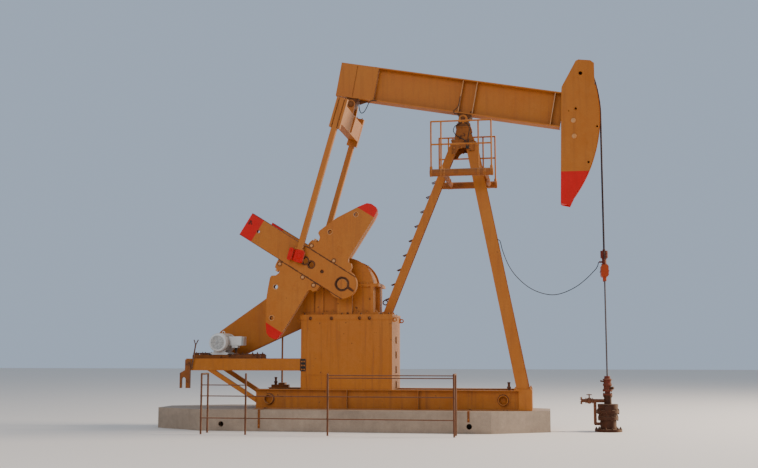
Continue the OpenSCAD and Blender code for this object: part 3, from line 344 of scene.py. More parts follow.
def painted_shade_marks(joints, discs):
    """Mask of painted shade: joints are (direction, middle, distance), discs (centre, radius)."""

    def build(tree):
        place = put(tree, "ShaderNodeTexCoord").outputs["Object"]
        ragged = spread(tree, noise(tree, place, 14), 0.3, 0.7, -0.006, 0.006)
        mask = 0.0
        for direction, middle, distance in joints:
            off = calc(tree, "SUBTRACT", reach(tree, direction), middle)
            off = calc(tree, "SUBTRACT", calc(tree, "ABSOLUTE", off), distance)
            off = calc(tree, "ADD", calc(tree, "ABSOLUTE", off), ragged)
            mask = calc(tree, "MAXIMUM", mask, spread(tree, off, 0.006, 0.014, 1, 0))
        flat = put(tree, "ShaderNodeVectorMath", {0: place, 1: (1, 0, 1)}, operation="MULTIPLY")
        for centre, radius in discs:
            away = put(
                tree, "ShaderNodeVectorMath",
                {0: flat.outputs[0], 1: (centre.x, 0, centre.z)}, operation="DISTANCE",
            )
            near = calc(tree, "ADD", away.outputs["Value"], ragged)
            disc = spread(tree, near, radius - 0.004, radius + 0.01, 1, 0)
            mask = calc(tree, "MAXIMUM", mask, disc)
        return mask

    return build


def turned(origin, angle):
    """Matrix turned about Y at an origin."""
    return Matrix.Translation(origin) @ Matrix.Rotation(angle, 4, "Y")


CRANK = turned(SHAFT, -CRANK_ANGLE)
BEAM = turned(SADDLE, TILT)
PITMAN = turned(TAIL, LEAN)


# Mesh helpers


def aimed(place, direction):
    """Matrix with its z along a direction, at a place."""
    turn = Vector(direction).to_track_quat("Z", "Y").to_matrix().to_4x4()
    return Matrix.Translation(place) @ turn


def around(radius, count):
    """Points spread evenly on a circle, the first of them half a step on."""
    angles = [math.tau * (k + 0.5) / count for k in range(count)]
    return [(radius * math.cos(a), radius * math.sin(a)) for a in angles]


def rectangle(x, y):
    """Corners of a rectangle from its half sizes."""
    return [(-x, -y), (x, -y), (x, y), (-x, y)]


def skin(bm, rings):
    """Joins rings of vertices into a surface and closes both ends."""
    count = len(rings[0])
    for low, high in zip(rings, rings[1:]):
        for k in range(count):
            m = (k + 1) % count
            bm.faces.new((low[k], low[m], high[m], high[k]))
    bm.faces.new(reversed(rings[0]))
    bm.faces.new(rings[-1])


def lathe(bm, matrix, profile, sides=20):
    """Revolves (radius, height) pairs about the matrix's z and closes both ends."""
    angles = [k * math.tau / sides for k in range(sides)]
    skin(bm, [
        [
            bm.verts.new(matrix @ Vector((radius * math.cos(a), radius * math.sin(a), height)))
            for a in angles
        ]
        for radius, height in profile
    ])


def bolt(bm, matrix, size, stud=0.0):
    """Hexagon nut on a washer, with a chamfered top and the end of its bolt."""
    washer = [(size * 1.1, 0), (size * 1.15, size * 0.08), (size * 1.1, size * 0.18)]
    lathe(bm, matrix, washer, 16)
    nut = [(size * 0.95, size * 0.18), (size * 0.95, size * 0.85), (size * 0.78, size)]
    lathe(bm, matrix, nut, 6)
    if stud:
        end = [(size * 0.5, size), (size * 0.5, size + stud * 0.85), (size * 0.4, size + stud)]
        lathe(bm, matrix, end, 12)


def bolts(bm, places, direction, size, stud=0.0, frame_matrix=None):
    """Bolts of one size at many places, in the model's frame or in that of a moving body."""
    for place in places:
        matrix = aimed(Vector(place), direction)
        bolt(bm, frame_matrix @ matrix if frame_matrix else matrix, size, stud)


def hoop(bm, matrix, major, minor, sides=32, ring=8):
    """Round ring about the matrix's z."""
    section = [
        (major + minor * math.cos(b), minor * math.sin(b))
        for b in (j * math.tau / ring for j in range(ring))
    ]
    rings = [
        [
            bm.verts.new(matrix @ Vector((out * math.cos(a), out * math.sin(a), height)))
            for out, height in section
        ]
        for a in (k * math.tau / sides for k in range(sides))
    ]
    for low, high in zip(rings, rings[1:] + rings[:1]):
        for j in range(ring):
            n = (j + 1) % ring
            bm.faces.new((low[j], high[j], high[n], low[n]))


def slab(bm, matrix, outline, low, high, bevel=0.0):
    """Plate with an outline in the matrix's xy plane and its upper edge bevelled."""
    outline = [Vector(p) for p in outline]
    middle = sum(outline, Vector((0, 0))) / len(outline)
    # A corner goes in further than its edges do
    corner = 1.4 * bevel
    levels = ((low, 0), (high - bevel, 0), (high, corner)) if bevel else ((low, 0), (high, 0))
    skin(bm, [
        [
            bm.verts.new(matrix @ Vector((*(p - (p - middle).normalized() * inward), height)))
            for p in outline
        ]
        for height, inward in levels
    ])


def block(bm, centre, size, bevel=0.006, matrix=None):
    """Box about a centre with a bevelled upper edge."""
    place = (matrix or Matrix()) @ Matrix.Translation(centre)
    slab(bm, place, rectangle(size[0] / 2, size[1] / 2), -size[2] / 2, size[2] / 2, bevel)


def carried(path):
    """Each point of a path with two directions across it that don't twist along the way."""
    last = len(path) - 1
    tangents = [
        (path[min(i + 1, last)] - path[max(i - 1, 0)]).normalized() for i in range(last + 1)
    ]
    side = tangents[0].orthogonal().normalized()
    for point, tangent in zip(path, tangents):
        side = (side - tangent * side.dot(tangent)).normalized()
        yield point, side, tangent.cross(side)


def tube(bm, points, radius, sides=10):
    """Round tube through points."""
    angles = [k * math.tau / sides for k in range(sides)]
    skin(bm, [
        [bm.verts.new(point + radius * (side * math.cos(a) + up * math.sin(a))) for a in angles]
        for point, side, up in carried([Vector(p) for p in points])
    ])


def smooth_path(points, steps):
    """Points on a Catmull-Rom curve, each span cut into a number of steps."""
    points = [Vector(p) for p in points]
    last = len(points) - 1
    path = []
    for i in range(last):
        a, b, c, d = points[max(i - 1, 0)], points[i], points[i + 1], points[min(i + 2, last)]
        for k in range(steps):
            t = k / steps
            square, cube = 2 * a - 5 * b + 4 * c - d, 3 * b - a - 3 * c + d
            path.append(0.5 * (2 * b + (c - a) * t + square * t**2 + cube * t**3))
    return path + [points[last]]


def wire_rope(bm, path, width, lay, strands=6):
    """Strands that wind round a path of closely spaced points."""
    lines = [[] for _ in range(strands)]
    run, last = 0.0, path[0]
    for point, side, up in carried(path):
        run += (point - last).length
        last = point
        for k, line in enumerate(lines):
            turn = math.tau * (run / lay + k / strands)
            line.append(point + width / 3 * (side * math.cos(turn) + up * math.sin(turn)))
    for line in lines:
        tube(bm, line, width / 6 * 1.05, 6)


def finish_piece(context, name, bm, material, body, sharp=35):
    """Turns a mesh into a piece with its material and, where it has one, its body."""
    bmesh.ops.recalc_face_normals(bm, faces=bm.faces)
    mesh = bpy.data.meshes.new(name)
    bm.to_mesh(mesh)
    bm.free()
    mesh.materials.append(bpy.data.materials[material])
    mesh.shade_smooth()
    mesh.set_sharp_from_angle(angle=math.radians(sharp))
    piece = bpy.data.objects.new(name, mesh)
    context.collection.objects.link(piece)
    if body:
        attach(piece, body)
    return piece


NODE_FINISH = {
    "concrete": ["concrete_base"],
    "motor_white": ["motor"],
    "red": ["wrist_bearings"],
    "rusty": ["flow_outlet", "guard_fence", "fence_ends"],
    "rail": ["motor_rails", "guard_support"],
    "lever": ["brake_lever"],
    "post": ["rear_leg"],
    "cap": ["post_cap"],
    "tube": ["work_platform", "platform_cross_tubes"],
    "strap": ["hold_down_straps"],
    "well_rust": ["casing_head"],
    "well_red": ["stuffing_box", "rod_clamp"],
    "greasy": ["saddle_bearings", "saddle_shaft", "tail_bearing", "equalizer_shaft"],
    "steel": ["polished_rod"],
    "crankshaft": ["crankshaft", "wrist_pins"],
    "rope": ["bridle_ropes", "bridle_wrap"],
    "black": ["platform_brackets", "load_cell_cable"],
    "carrier": ["carrier_bar"],
    "crank": ["crank_near", "crank_far"],
    "weight": ["weights_near", "weights_far"],
    "head": ["horsehead"],
    "pedestal": ["pedestal_sides"],
    "gear": ["gear_case", "gear_cover"],
    "skid": ["skid_beams", "skid_cross_members"],
}

# Where the second paint begins, along the lever, the pegs, the head, the cranks and weights
LEVER_GRIP_X = -5.684
PEG_DIRECTION, PEG_REACH = Vector((-0.92686, 0, 0.37542)), 2.489
HEAD_RED_Z = 5.255
CRANK_RED = 2.105
WEIGHT_RED = 1.49
# Half widths of the gaps beside a crank and a weight, with painted shade along them, and discs of
# painted shade in a hole, the tip's notch and the clamp's slot (along, across, radius)
CRANK_GAP, WEIGHT_GAP = 0.262, 0.268
SHADE_SPOTS = (
    (0.495, 0.005, 0.034),
    (2.335, -0.09, 0.026), (2.3, -0.06, 0.016), (2.345, -0.045, 0.02),
    (-0.165, 0, 0.024), (-0.195, 0, 0.022), (-0.225, 0, 0.02), (-0.255, 0, 0.018),
)


def crank_paints(red):
    """Second paint and painted shade of the cranks, and of the counterweights."""
    along = CRANK.to_3x3() @ Vector((1, 0, 0))
    across = CRANK.to_3x3() @ Vector((0, 0, 1))
    middle = across.dot(SHAFT)
    # Painted shade in the recess round the shaft and in the pin holes
    discs = [(SHAFT, 0.15)]
    discs += [(CRANK @ Vector((u, 0, 0)), r) for u, r in zip(PIN_HOLES, (0.086, 0.092))]
    discs += [(CRANK @ Vector((u, 0, w)), r) for u, w, r in SHADE_SPOTS]
    crank = {
        "second": (red, beyond(along, along.dot(SHAFT) + CRANK_RED)),
        "dark": painted_shade_marks([(across, middle, CRANK_GAP)], discs),
    }
    weight = {
        "second": (red, beyond(across, WEIGHT_RED, middle)),
        "dark": painted_shade_marks([(across, middle, WEIGHT_GAP)], []),
    }
    return crank, weight


class PUMP_OT_finishes(bpy.types.Operator):
    """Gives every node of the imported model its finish"""

    bl_idname = "pump.finishes"
    bl_label = "Finishes"

    def execute(self, context):
        c = context.scene.pump_colours
        crank, weight = crank_paints(c.red)
        extras = {
            "lever": {"second": (c.rust, beyond(Vector((1, 0, 0)), LEVER_GRIP_X))},
            "post": {"second": (c.rust, beyond(PEG_DIRECTION, PEG_REACH))},
            "cap": {"chalk_and_sunlight_amount": 0.15},
            "tube": {"chalk_and_sunlight_amount": 0.1},
            "concrete": {"bump": 0.012},
            "crank": crank,
            "weight": weight,
            "head": {"second": (c.red, beyond(Vector(DOWN), -HEAD_RED_Z))},
        }
        # Paint, its faded colour, then fading, rusting, dusting, metal and bump as in weathered
        recipes = {
            "tan": (c.tan, c.faded),
            "pedestal": (c.tan, c.faded, 0.4, 0.5, 0.4),
            "gear": (c.tan, c.faded, 0.6, 0.5, 0.7),
            "skid": (toned(c.tan, 0.92), c.faded, 0.6, 0.5, 0.6),
            "rail": (toned(c.tan, 0.7), toned(c.rust, 1.5), 0.9, 0.8, 0.5),
            "lever": (toned(c.tan, 0.75), toned(c.rust, 1.4), 0.8, 0.8),
            "post": (c.tan, c.faded),
            "cap": (toned(c.tan, 0.8), toned(c.tan, 0.35), 0.9, 0.8, 0.3),
            "tube": (toned(c.tan, 0.75), toned(c.rust, 1.8), 0.7, 0.6, 0.3),
            "strap": (toned(c.tan, 0.6), toned(c.rust, 1.6), 0.7, 0.6, 0.3),
            "pale": (toned(c.faded, 1.25), c.dust, 0.9, 0.2, 0.3),
            # The concrete is made darker to match the shade on the pad's sides: painted shade on
            # all its faces
            "concrete": (c.concrete, toned(c.concrete, 1.55), 0.8, 0.15, 0.25),
            "motor_white": (c.white, toned(c.white, 0.8), 0.6, 0.15, 0.4),
            "red": (c.red, (c.red[0] * 1.1, 0.012, 0.004), 0.5, 0.3, 0.2),
            "rusty": (c.rust, toned(c.rust, 2.2), 0.8, 0.6, 0.3, 0.2, 0.006),
            "well_rust": (toned(c.rust, 0.35), c.rust, 0.8, 0.5, 0.35, 0.2, 0.008),
            "well_red": ((0.16, 0.022, 0.012), c.rust, 0.9, 0.5, 0.2, 0.1, 0.006),
            "greasy": (toned(c.tan, 0.4), toned(c.tan, 0.16), 1, 0.9, 0.35, 0.1, 0.006),
            "steel": (c.steel, toned(c.steel, 1.6), 0.6, 0.2, 0, 0.9, 0.001),
            "crankshaft": (c.tan, c.faded, 0.6, 0.6, 0.3),
            "rope": ((0.035, 0.022, 0.024), (0.075, 0.05, 0.05), 0.9, 0.5, 0, 0.4, 0.001),
            "grey": ((0.32, 0.32, 0.31), (0.45, 0.45, 0.43), 0.6, 0.2, 0.2),
            "black": ((0.014, 0.013, 0.012), (0.035, 0.03, 0.027), 0.7, 0.3, 0.5),
            "carrier": ((0.36, 0.055, 0.008), c.red, 0.6, 0.7, 0.2),
            "crank": (c.tan, c.faded),
            "weight": (c.tan, c.faded),
            "head": (c.tan, c.faded),
        }
        finishes = {
            name: weathered(name, *recipe, **extras.get(name, {}))
            for name, recipe in recipes.items()
        }
        chosen = {node: kind for kind, nodes in NODE_FINISH.items() for node in nodes}
        for name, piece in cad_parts.items():
            piece.data.materials.clear()
            piece.data.materials.append(finishes[chosen.get(name, "tan")])
        return {"FINISHED"}


CABLE_ROUTE = [
    (681.5, -378, 3845.0), (697, -378, 3844), (739, -377, 3808), (782, -366, 3631),
    (864, -355, 3404), (942, -343, 3249), (1038, -328, 3115), (1170, -306, 2978),
    (1320, -280, 2862), (1478, -252, 2784), (1636, -222, 2738), (1777, -194, 2724),
    (1924, -165, 2746), (2101, -130, 2813), (2284, -95, 2916), (2464, -61, 3062),
    (2609, -32, 3209), (2656, -14, 3262), (2689, -4, 3325), (2701, 0, 3372),
    (2704, 0, 3392.5),
]


class PUMP_OT_ropes(bpy.types.Operator):
    """Lays the wire ropes, the polished rod and the load cell's cable"""

    bl_idname = "pump.ropes"
    bl_label = "Ropes and cable"

    def execute(self, context):
        hang, wrap = bmesh.new(), bmesh.new()
        steps, arc_steps = 340, 90
        low, high = 3.327, 6.398
        wrap_angle = math.radians(16.64)
        for y in (-ROPE_Y, ROPE_Y):
            heights = [low + (high - low) * i / steps for i in range(steps + 1)]
            wire_rope(hang, [Vector((HEAD_ARM, y, z)) for z in heights], ROPE_WIDTH, ROPE_LAY)
            angles = [wrap_angle * i / arc_steps for i in range(arc_steps + 1)]
            arc = [Vector((HEAD_ARM * math.cos(a), y, HEAD_ARM * math.sin(a))) for a in angles]
            wire_rope(wrap, [SADDLE + p for p in arc], ROPE_WIDTH, ROPE_LAY)
        ropes = finish_piece(context, "wire_ropes", hang, "rope", None, 60)
        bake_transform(ropes)
        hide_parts("bridle_ropes")
        laid = finish_piece(context, "rope_on_head", wrap, "rope", "beam", 60)
        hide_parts("bridle_wrap")
        rod = bmesh.new()
        bar = [(0.016, 0.01 + 4.46 * i / 60) for i in range(61)] + [(0.012, 4.479)]
        lathe(rod, aimed((HEAD_ARM, 0, 0), UP), bar)
        rod_piece = finish_piece(context, "rod_bar", rod, "steel", None)
        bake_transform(rod_piece)
        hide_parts("polished_rod")
        route = [Vector(p) / 1000 for p in CABLE_ROUTE]
        path = smooth_path(route, 4)
        cable = bmesh.new()
        tube(cable, path, 0.008, 10)
        piece = finish_piece(context, "cell_cable", cable, "black", None, 60)
        length = sum((b - a).length for a, b in zip(path, path[1:]))
        tuple(path[0])
        [tuple(p) for p in path]
        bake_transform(piece)
        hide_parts("load_cell_cable")
        return {"FINISHED"}


class PUMP_OT_gear_bolts(bpy.types.Operator):
    """Bolts the gear reducer, the pedestal, the post and the platform together"""

    bl_idname = "pump.gear_bolts"
    bl_label = "Bolts of the structure"

    def execute(self, context):
        bm, dark = bmesh.new(), bmesh.new()
        flange = [x for x in (-3.3 + 0.13 * i for i in range(12)) if abs(x - SHAFT.x) > 0.26]
        for y in (-0.442, 0.442):
            bolts(bm, [(x, y, 2.975) for x in flange], UP, 0.017, 0.012)
            bolts(bm, [(x, y, 2.915) for x in flange if x > -2.9], DOWN, 0.017)
            bolts(bm, [(x, y, 2.39) for x in (-2.85, -2.72, -2.2, -2.02, -1.8)], UP, 0.022, 0.02)
        flange_end = [(-1.785, y, 2.975) for y in (-0.4, -0.24, -0.08, 0.08, 0.24, 0.4)]
        bolts(bm, flange_end, UP, 0.017, 0.012)
        for side in (-1, 1):
            face = (0, side, 0)
            top_edge = [(x, side * 0.582, 2.262) for x in (-3.154, -2.713, -2.128, -1.925)]
            bolts(dark, top_edge, face, 0.032, 0.02)
            top_plate = [(x, side * 0.555, 2.34) for x in (-3.28, -2.9, -2.5, -2.1, -1.7, -1.53)]
            bolts(dark, top_plate, UP, 0.02, 0.015)
            side_plate = [(x, side * 0.574, z) for x in (-3.33, -3.28) for z in (1.22, 1.3, 1.38)]
            bolts(bm, side_plate, face, 0.015)
            leg_feet = [(x, side * y, 0.84) for x in (1.005, 1.295) for y in (0.415, 0.585)]
            bolts(bm, leg_feet, UP, 0.022, 0.02)
            bolts(bm, [(x, side * 0.275, 5.96) for x in (-0.215, 0.21)], UP, 0.022, 0.015)
            bolts(bm, [(x, side * 0.218, 6.273) for x in (-0.128, 0.128)], UP, 0.024, 0.03)
            bolts(bm, [(x, side * 0.289, SADDLE_Z + z) for x, z in around(0.072, 6)], face, 0.011)
            bolts(bm, [(x, side * 0.12, 2.36) for x in (-1.72, -1.53)], UP, 0.022, 0.02)
            cap = [(x, side * 0.3, z) for x in (-0.19, -0.04, 0.13) for z in (5.87, 5.79)]
            bolts(bm, cap, face, 0.016)
            bolts(bm, [(x, side * 0.2, 1.545) for x in (-5.33, -5.07)], UP, 0.02, 0.02)
            bolts(bm, [(x, side * 0.24, 1.52) for x in (-5.7, -4.5)], UP, 0.014)
            bolts(bm, [(-5.792, side * 0.2, 1.47)], (-1, 0, 0), 0.016)
            straps = [(-4.088, side * 1.06, 0.12), (0.108, side * 1.06, 0.27)]
            bolts(bm, straps, face, 0.014)
        finish_piece(context, "structure_bolts", bm, "tan", "base")
        hoop(dark, aimed((-1.676, -0.05, 2.6), (0, 1, 0)), 0.048, 0.012, 28)
        finish_piece(context, "pedestal_bolts", dark, "greasy", "base")
        self.covers(context)
        return {"FINISHED"}

    def covers(self, context):
        """Adds the saddle's caps and the hatch, the eyes and the fillers of the gear case."""
        covers = bmesh.new()
        for side in (-1, 1):
            at = aimed((0, side * 0.285, SADDLE_Z), (0, side, 0))
            lathe(covers, at, [(0.092, 0), (0.092, 0.003), (0.088, 0.005)], 32)
        turn = math.radians(52)
        out = Vector((math.cos(turn), 0, math.sin(turn)))
        hatch = turned(SHAFT + out * 0.519, math.pi / 2 - turn)
        slab(covers, hatch, rectangle(0.13, 0.2), -0.01, 0.022, 0.004)
        hatch_bolts = [(x, y, 0.022) for x in (-0.105, 0.105) for y in (-0.17, 0, 0.17)]
        bolts(covers, hatch_bolts, UP, 0.012, 0, hatch)
        for x, z in ((-2.95, 3.41), (-2.44, 3.5)):
            hoop(covers, aimed((x, 0, z), (0, 1, 0)), 0.04, 0.01, 24)
        filler = [(0.02, 0), (0.02, 0.12), (0.034, 0.125), (0.034, 0.16), (0.025, 0.165)]
        for x, z in ((-2.0, 3.19), (-3.2, 3.1)):
            lathe(covers, aimed((x, -0.36, z), UP), filler, 16)
        finish_piece(context, "gear_covers", covers, "gear", "base")


# Nuts and filled holes of a weight: how far along the crank and how far from its middle
TWO_NUTS = ((0.396, 0.31), (0.96, 0.33))
THREE_NUTS = ((0.12, 0.33), (0.403, 0.31), (0.96, 0.33))
WEIGHT_HOLES = ((0.512, 1.35), (0.783, 0.77))
# How far each pair of weights is set along its crank, below its middle and above it
WEIGHT_SHIFTS = ((-1, (0, 0.37)), (1, (0.3, 0.6)))


class PUMP_OT_crank_bolts(bpy.types.Operator):
    """Bolts the counterweights to the cranks and the bearings to their pins"""

    bl_idname = "pump.crank_bolts"
    bl_label = "Bolts of the cranks"

    def execute(self, context):
        painted, rusty = bmesh.new(), bmesh.new()
        for side, shifts in WEIGHT_SHIFTS:
            face = (0, side, 0)
            y = side * CRANK_FACE
            for shift, sense in zip(shifts, (-1, 1)):
                nuts = THREE_NUTS if shift > 0.2 else TWO_NUTS
                places = [(shift + u, y, sense * w) for u, w in nuts]
                bolts(painted, places, face, 0.03, 0, CRANK)
                for x, _, z in places:
                    hoop(rusty, CRANK @ aimed((x, y + side * 0.002, z), face), 0.044, 0.006)
                for u, w in WEIGHT_HOLES:
                    hoop(painted, CRANK @ aimed((shift + u, y, sense * w), face), 0.052, 0.008)
                outer = 0.96 if sense < 0 else 0.95
                lug = (shift + outer, side * 0.79, sense * 0.47)
                block(painted, lug, (0.06, 0.09, 0.05), 0.008, CRANK)
            # Dark rings at the pin holes stand for the shade on the holes' walls
            for u, major, minor in zip(PIN_HOLES, (0.068, 0.079), (0.006, 0.012)):
                hoop(rusty, CRANK @ aimed((u, y, 0), face), major, minor)
            hoop(painted, CRANK @ aimed((0, side * 0.832, 0), face), 0.1, 0.006)
            collar = [(0.1, 0), (0.1, 0.03), (0.09, 0.036)]
            lathe(rusty, CRANK @ aimed((THROW, y, 0), face), collar, 32)
        finish_piece(context, "weight_nuts", painted, "pale", "cranks")
        finish_piece(context, "crank_rings", rusty, "rusty", "cranks")
        bearing, pins = bmesh.new(), bmesh.new()
        at = PITMAN @ Matrix.Translation((0, 0, -PITMAN_LENGTH))
        for side in (-1, 1):
            face = (0, side, 0)
            y = side * BEARING_FACE
            places = [(x, y, z) for x in (-0.02, 0.09) for z in (-0.075, 0.1)]
            places += [(-0.154, y, z) for z in (-0.06, 0.085)]
            bolts(bearing, places, face, 0.014, 0.008, at)
            cover = [(0.06, 0), (0.06, 0.006), (0.05, 0.012), (0.018, 0.014)]
            lathe(bearing, at @ aimed((0.034, y, 0.012), face), cover, 28)
            head = [(x, side * 0.97, z) for x in (-0.058, 0.058) for z in (-0.64, -0.52)]
            bolts(pins, head, face, 0.011, 0, PITMAN)
            shoe = [(x, side * 0.95, -0.07) for x in (-0.06, 0.06)]
            bolts(pins, shoe, UP, 0.018, 0.02, PITMAN)
            end = [(0.07, 0), (0.07, 0.012), (0.06, 0.018)]
            lathe(pins, PITMAN @ aimed((0, side * 0.19, 0), face), end, 28)
            angles = (0.8, 2.4, 3.9, 5.5)
            ring = [(0.045 * math.cos(a), side * 0.208, 0.045 * math.sin(a)) for a in angles]
            bolts(pins, ring, face, 0.009, 0, PITMAN)
        finish_piece(context, "bearing_bolts", bearing, "red", "pitman_frame")
        finish_piece(context, "equalizer_bolts", pins, "greasy", "pitman_frame")
        return {"FINISHED"}


# Lines of the grease hoses, the first two in the beam's own frame and the others, with their
# radius, in the model's
BEAM_HOSE = [
    (-0.13, -0.17, 0.125), (-0.2, -0.18, 0.11), (-0.235, -0.18, 0.16),
    (-0.2, -0.155, 0.22), (-0.16, -0.15, 0.3), (-0.157, -0.15, 0.5),
]
TAIL_HOSE = [
    (-2.29, -0.06, 0.03), (-2.25, -0.09, -0.08), (-2.19, -0.12, -0.15), (-2.13, -0.135, -0.11),
    (-2.09, -0.137, 0.0), (-2.06, -0.14, 0.1), (-2.0, -0.156, 0.145), (-1.9, -0.158, 0.152),
]
SADDLE_HOSES = (
    (0.008, [
        (-0.02, -0.29, 6.33), (-0.08, -0.31, 6.3), (-0.17, -0.31, 6.24), (-0.2, -0.31, 6.15),
        (-0.15, -0.3, 6.06), (-0.06, -0.3, 6.0), (0.04, -0.312, 5.93), (0.08, -0.312, 5.8),
    ]),
    (0.007, [
        (0.02, -0.29, 6.33), (0.1, -0.3, 6.28), (0.13, -0.3, 6.2), (0.12, -0.29, 6.1),
        (0.1, -0.3, 6.0), (0.11, -0.312, 5.9), (0.11, -0.312, 5.8),
    ]),
)
# Rings on the head's side plates: x, z and radius
HEAD_RINGS = (
    (2.223, 1.326, 0.043), (2.246, 0.574, 0.034), (2.735, 0.27, 0.026), (2.681, -0.491, 0.028),
)


class PUMP_OT_beam_fittings(bpy.types.Operator):
    """Adds the bolts, welds and grease lines of the walking beam and the head"""

    bl_idname = "pump.beam_fittings"
    bl_label = "Beam fittings"

    def execute(self, context):
        bm = bmesh.new()
        for x in (-0.12, 0.12):
            bolts(bm, [(x, y, 0.17) for y in (-0.11, 0.11)], UP, 0.026, 0.03, BEAM)
            bolts(bm, [(x, y, 0.145) for y in (-0.13, 0.13)], DOWN, 0.018, 0.01, BEAM)
            tail = [(x - TAIL_ARM, y, 0.145) for y in (-0.13, 0.13)]
            bolts(bm, tail, DOWN, 0.026, 0.03, BEAM)
        finish_piece(context, "beam_bolts", bm, "greasy", "beam")
        trim, pale = bmesh.new(), bmesh.new()
        for side in (-1, 1):
            face = (0, side, 0)
            # Pale strips down the front edges of the stiffeners are painted highlights
            for x in (-0.149, 0.149, 1.786):
                block(pale, (x, side * 0.1395, 0.51), (0.013, 0.004, 0.68), 0.001, BEAM)
            for x, z, radius in HEAD_RINGS:
                hoop(trim, BEAM @ aimed((x, side * HEAD_FACE, z), face), radius, 0.006)
            disc = [(0.05, 0), (0.05, 0.012), (0.042, 0.018), (0.02, 0.019)]
            for x, z in ((2.24, 0.32), (2.31, 0.0)):
                lathe(pale, BEAM @ aimed((x, side * HEAD_FACE, z), face), disc, 24)
            welds = [([(x, side * 0.146, z) for x in (1.905, 2.0)], 0.005) for z in (0.155, 0.87)]
            welds.append(([(-1.99, side * 0.145, z) for z in (0.175, 0.85)], 0.006))
            welds.append(([(x, side * 0.01, 0.171) for x in (-1.9, -0.2)], 0.004))
            for line, radius in welds:
                tube(trim, [BEAM @ Vector(p) for p in line], radius, 8)
        finish_piece(context, "beam_trim", trim, "tan", "beam")
        finish_piece(context, "painted_highlights_and_discs", pale, "pale", "beam")
        grease = bmesh.new()
        for radius, line in ((0.008, BEAM_HOSE), (0.009, TAIL_HOSE)):
            tube(grease, [BEAM @ p for p in smooth_path(line, 6)], radius, 8)
        finish_piece(context, "beam_grease_lines", grease, "black", "beam", 60)
        base = bmesh.new()
        for radius, line in SADDLE_HOSES:
            tube(base, smooth_path(line, 8), radius, 8)
        block(base, (0.095, -0.307, 5.79), (0.08, 0.014, 0.05), 0.003)
        finish_piece(context, "saddle_grease_lines", base, "black", "base", 60)
        return {"FINISHED"}


MOTOR_SHAFT = Vector((-5.2, 0, 1.775))
# Profile of the plug under the motor's terminal box, and the line of the cable from it
TERMINAL_PLUG = [(0.045, -0.06), (0.045, 0.01), (0.032, 0.014), (0.032, 0.05), (0.026, 0.055)]
MOTOR_CABLE = [
    (-4.9, -0.02, 1.615), (-4.9, -0.02, 1.56), (-4.86, 0.03, 1.48), (-4.8, 0.1, 1.452),
    (-4.5, 0.12, 1.448),
]


def by_motor(x, y, z):
    """A place given from the middle of the motor."""
    return MOTOR_SHAFT + Vector((x, y, z))


class PUMP_OT_motor_fittings(bpy.types.Operator):
    """Adds the motor's fan grille, terminal box, clamps and eye"""

    bl_idname = "pump.motor_fittings"
    bl_label = "Motor fittings"

    def execute(self, context):
        front = aimed(by_motor(0, -0.392, 0), (0, -1, 0))
        grille = bmesh.new()
        for k in range(7):
            hoop(grille, front, 0.028 + 0.019 * k, 0.0035, 40, 6)
        for a in (k * math.tau / 8 for k in range(8)):
            spoke = [Vector((r * math.cos(a), r * math.sin(a), 0)) for r in (0.028, 0.145)]
            tube(grille, [front @ p for p in spoke], 0.003, 6)
        lathe(grille, front, [(0.026, -0.002), (0.026, 0.004), (0.018, 0.007)], 24)
        finish_piece(context, "fan_grille", grille, "grey", "base", 50)
        body = bmesh.new()
        for y in (-0.295, 0.325):
            hoop(body, aimed(by_motor(0, y, 0), (0, 1, 0)), 0.19, 0.009, 48)
        for x, z in around(0.165, 4):
            bolt(body, aimed(by_motor(x, -0.385, z), (0, -1, 0)), 0.009)
        hoop(body, aimed(by_motor(0, 0.02, 0.215), (0, 1, 0)), 0.026, 0.008, 24)
        boss = [(0.02, 0), (0.02, 0.016), (0.012, 0.02)]
        lathe(body, aimed(by_motor(0, 0.02, 0.175), UP), boss, 16)
        lid = aimed(by_motor(0.46, 0.02, 0.035), (1, 0, 0))
        slab(body, lid, rectangle(0.118, 0.093), 0, 0.014, 0.004)
        for y in (-0.075, 0.115):
            for z in (-0.035, 0.105):
                bolt(body, aimed(by_motor(0.474, y, z), (1, 0, 0)), 0.007)
        finish_piece(context, "motor_trim", body, "motor_white", "base")
        dark = bmesh.new()
        lathe(dark, aimed(by_motor(0.3, -0.02, -0.11), DOWN), TERMINAL_PLUG)
        tube(dark, smooth_path(MOTOR_CABLE, 6), 0.017)
        for x in (-5.4, -4.98):
            for y in (-0.2, 0.2):
                block(dark, (x, y, 1.528), (0.07, 0.13, 0.018), 0.004)
        for x in (-5.6, -4.72, -4.42):
            block(dark, (x, 0, 1.46), (0.05, 0.3, 0.04), 0.004)
        finish_piece(context, "motor_clamps", dark, "black", "base")
        rails = bmesh.new()
        for y in (-0.2, 0.2):
            for x in (-5.72, -5.52, -4.83, -4.6, -4.38):
                block(rails, (x, y, 1.53), (0.09, 0.11, 0.02), 0.005)
                bolt(rails, aimed((x, y, 1.54), UP), 0.018, 0.02)
            tube(rails, [(-5.79, y, 1.55), (-5.42, y, 1.55)], 0.012)
        finish_piece(context, "rail_clamps", rails, "rusty", "base")
        return {"FINISHED"}


# Rings of studs of the wellhead: radius, lower face, upper face, count and size
WELL_FLANGES = (
    (0.245, 0.0, 0.05, 12, 0.02), (0.188, 0.235, 0.29, 12, 0.016),
    (0.208, 0.365, 0.42, 12, 0.016), (0.083, 0.69, 0.745, 8, 0.011),
    (0.088, 0.795, 0.825, 6, 0.009), (0.083, 0.905, 0.935, 6, 0.009),
)
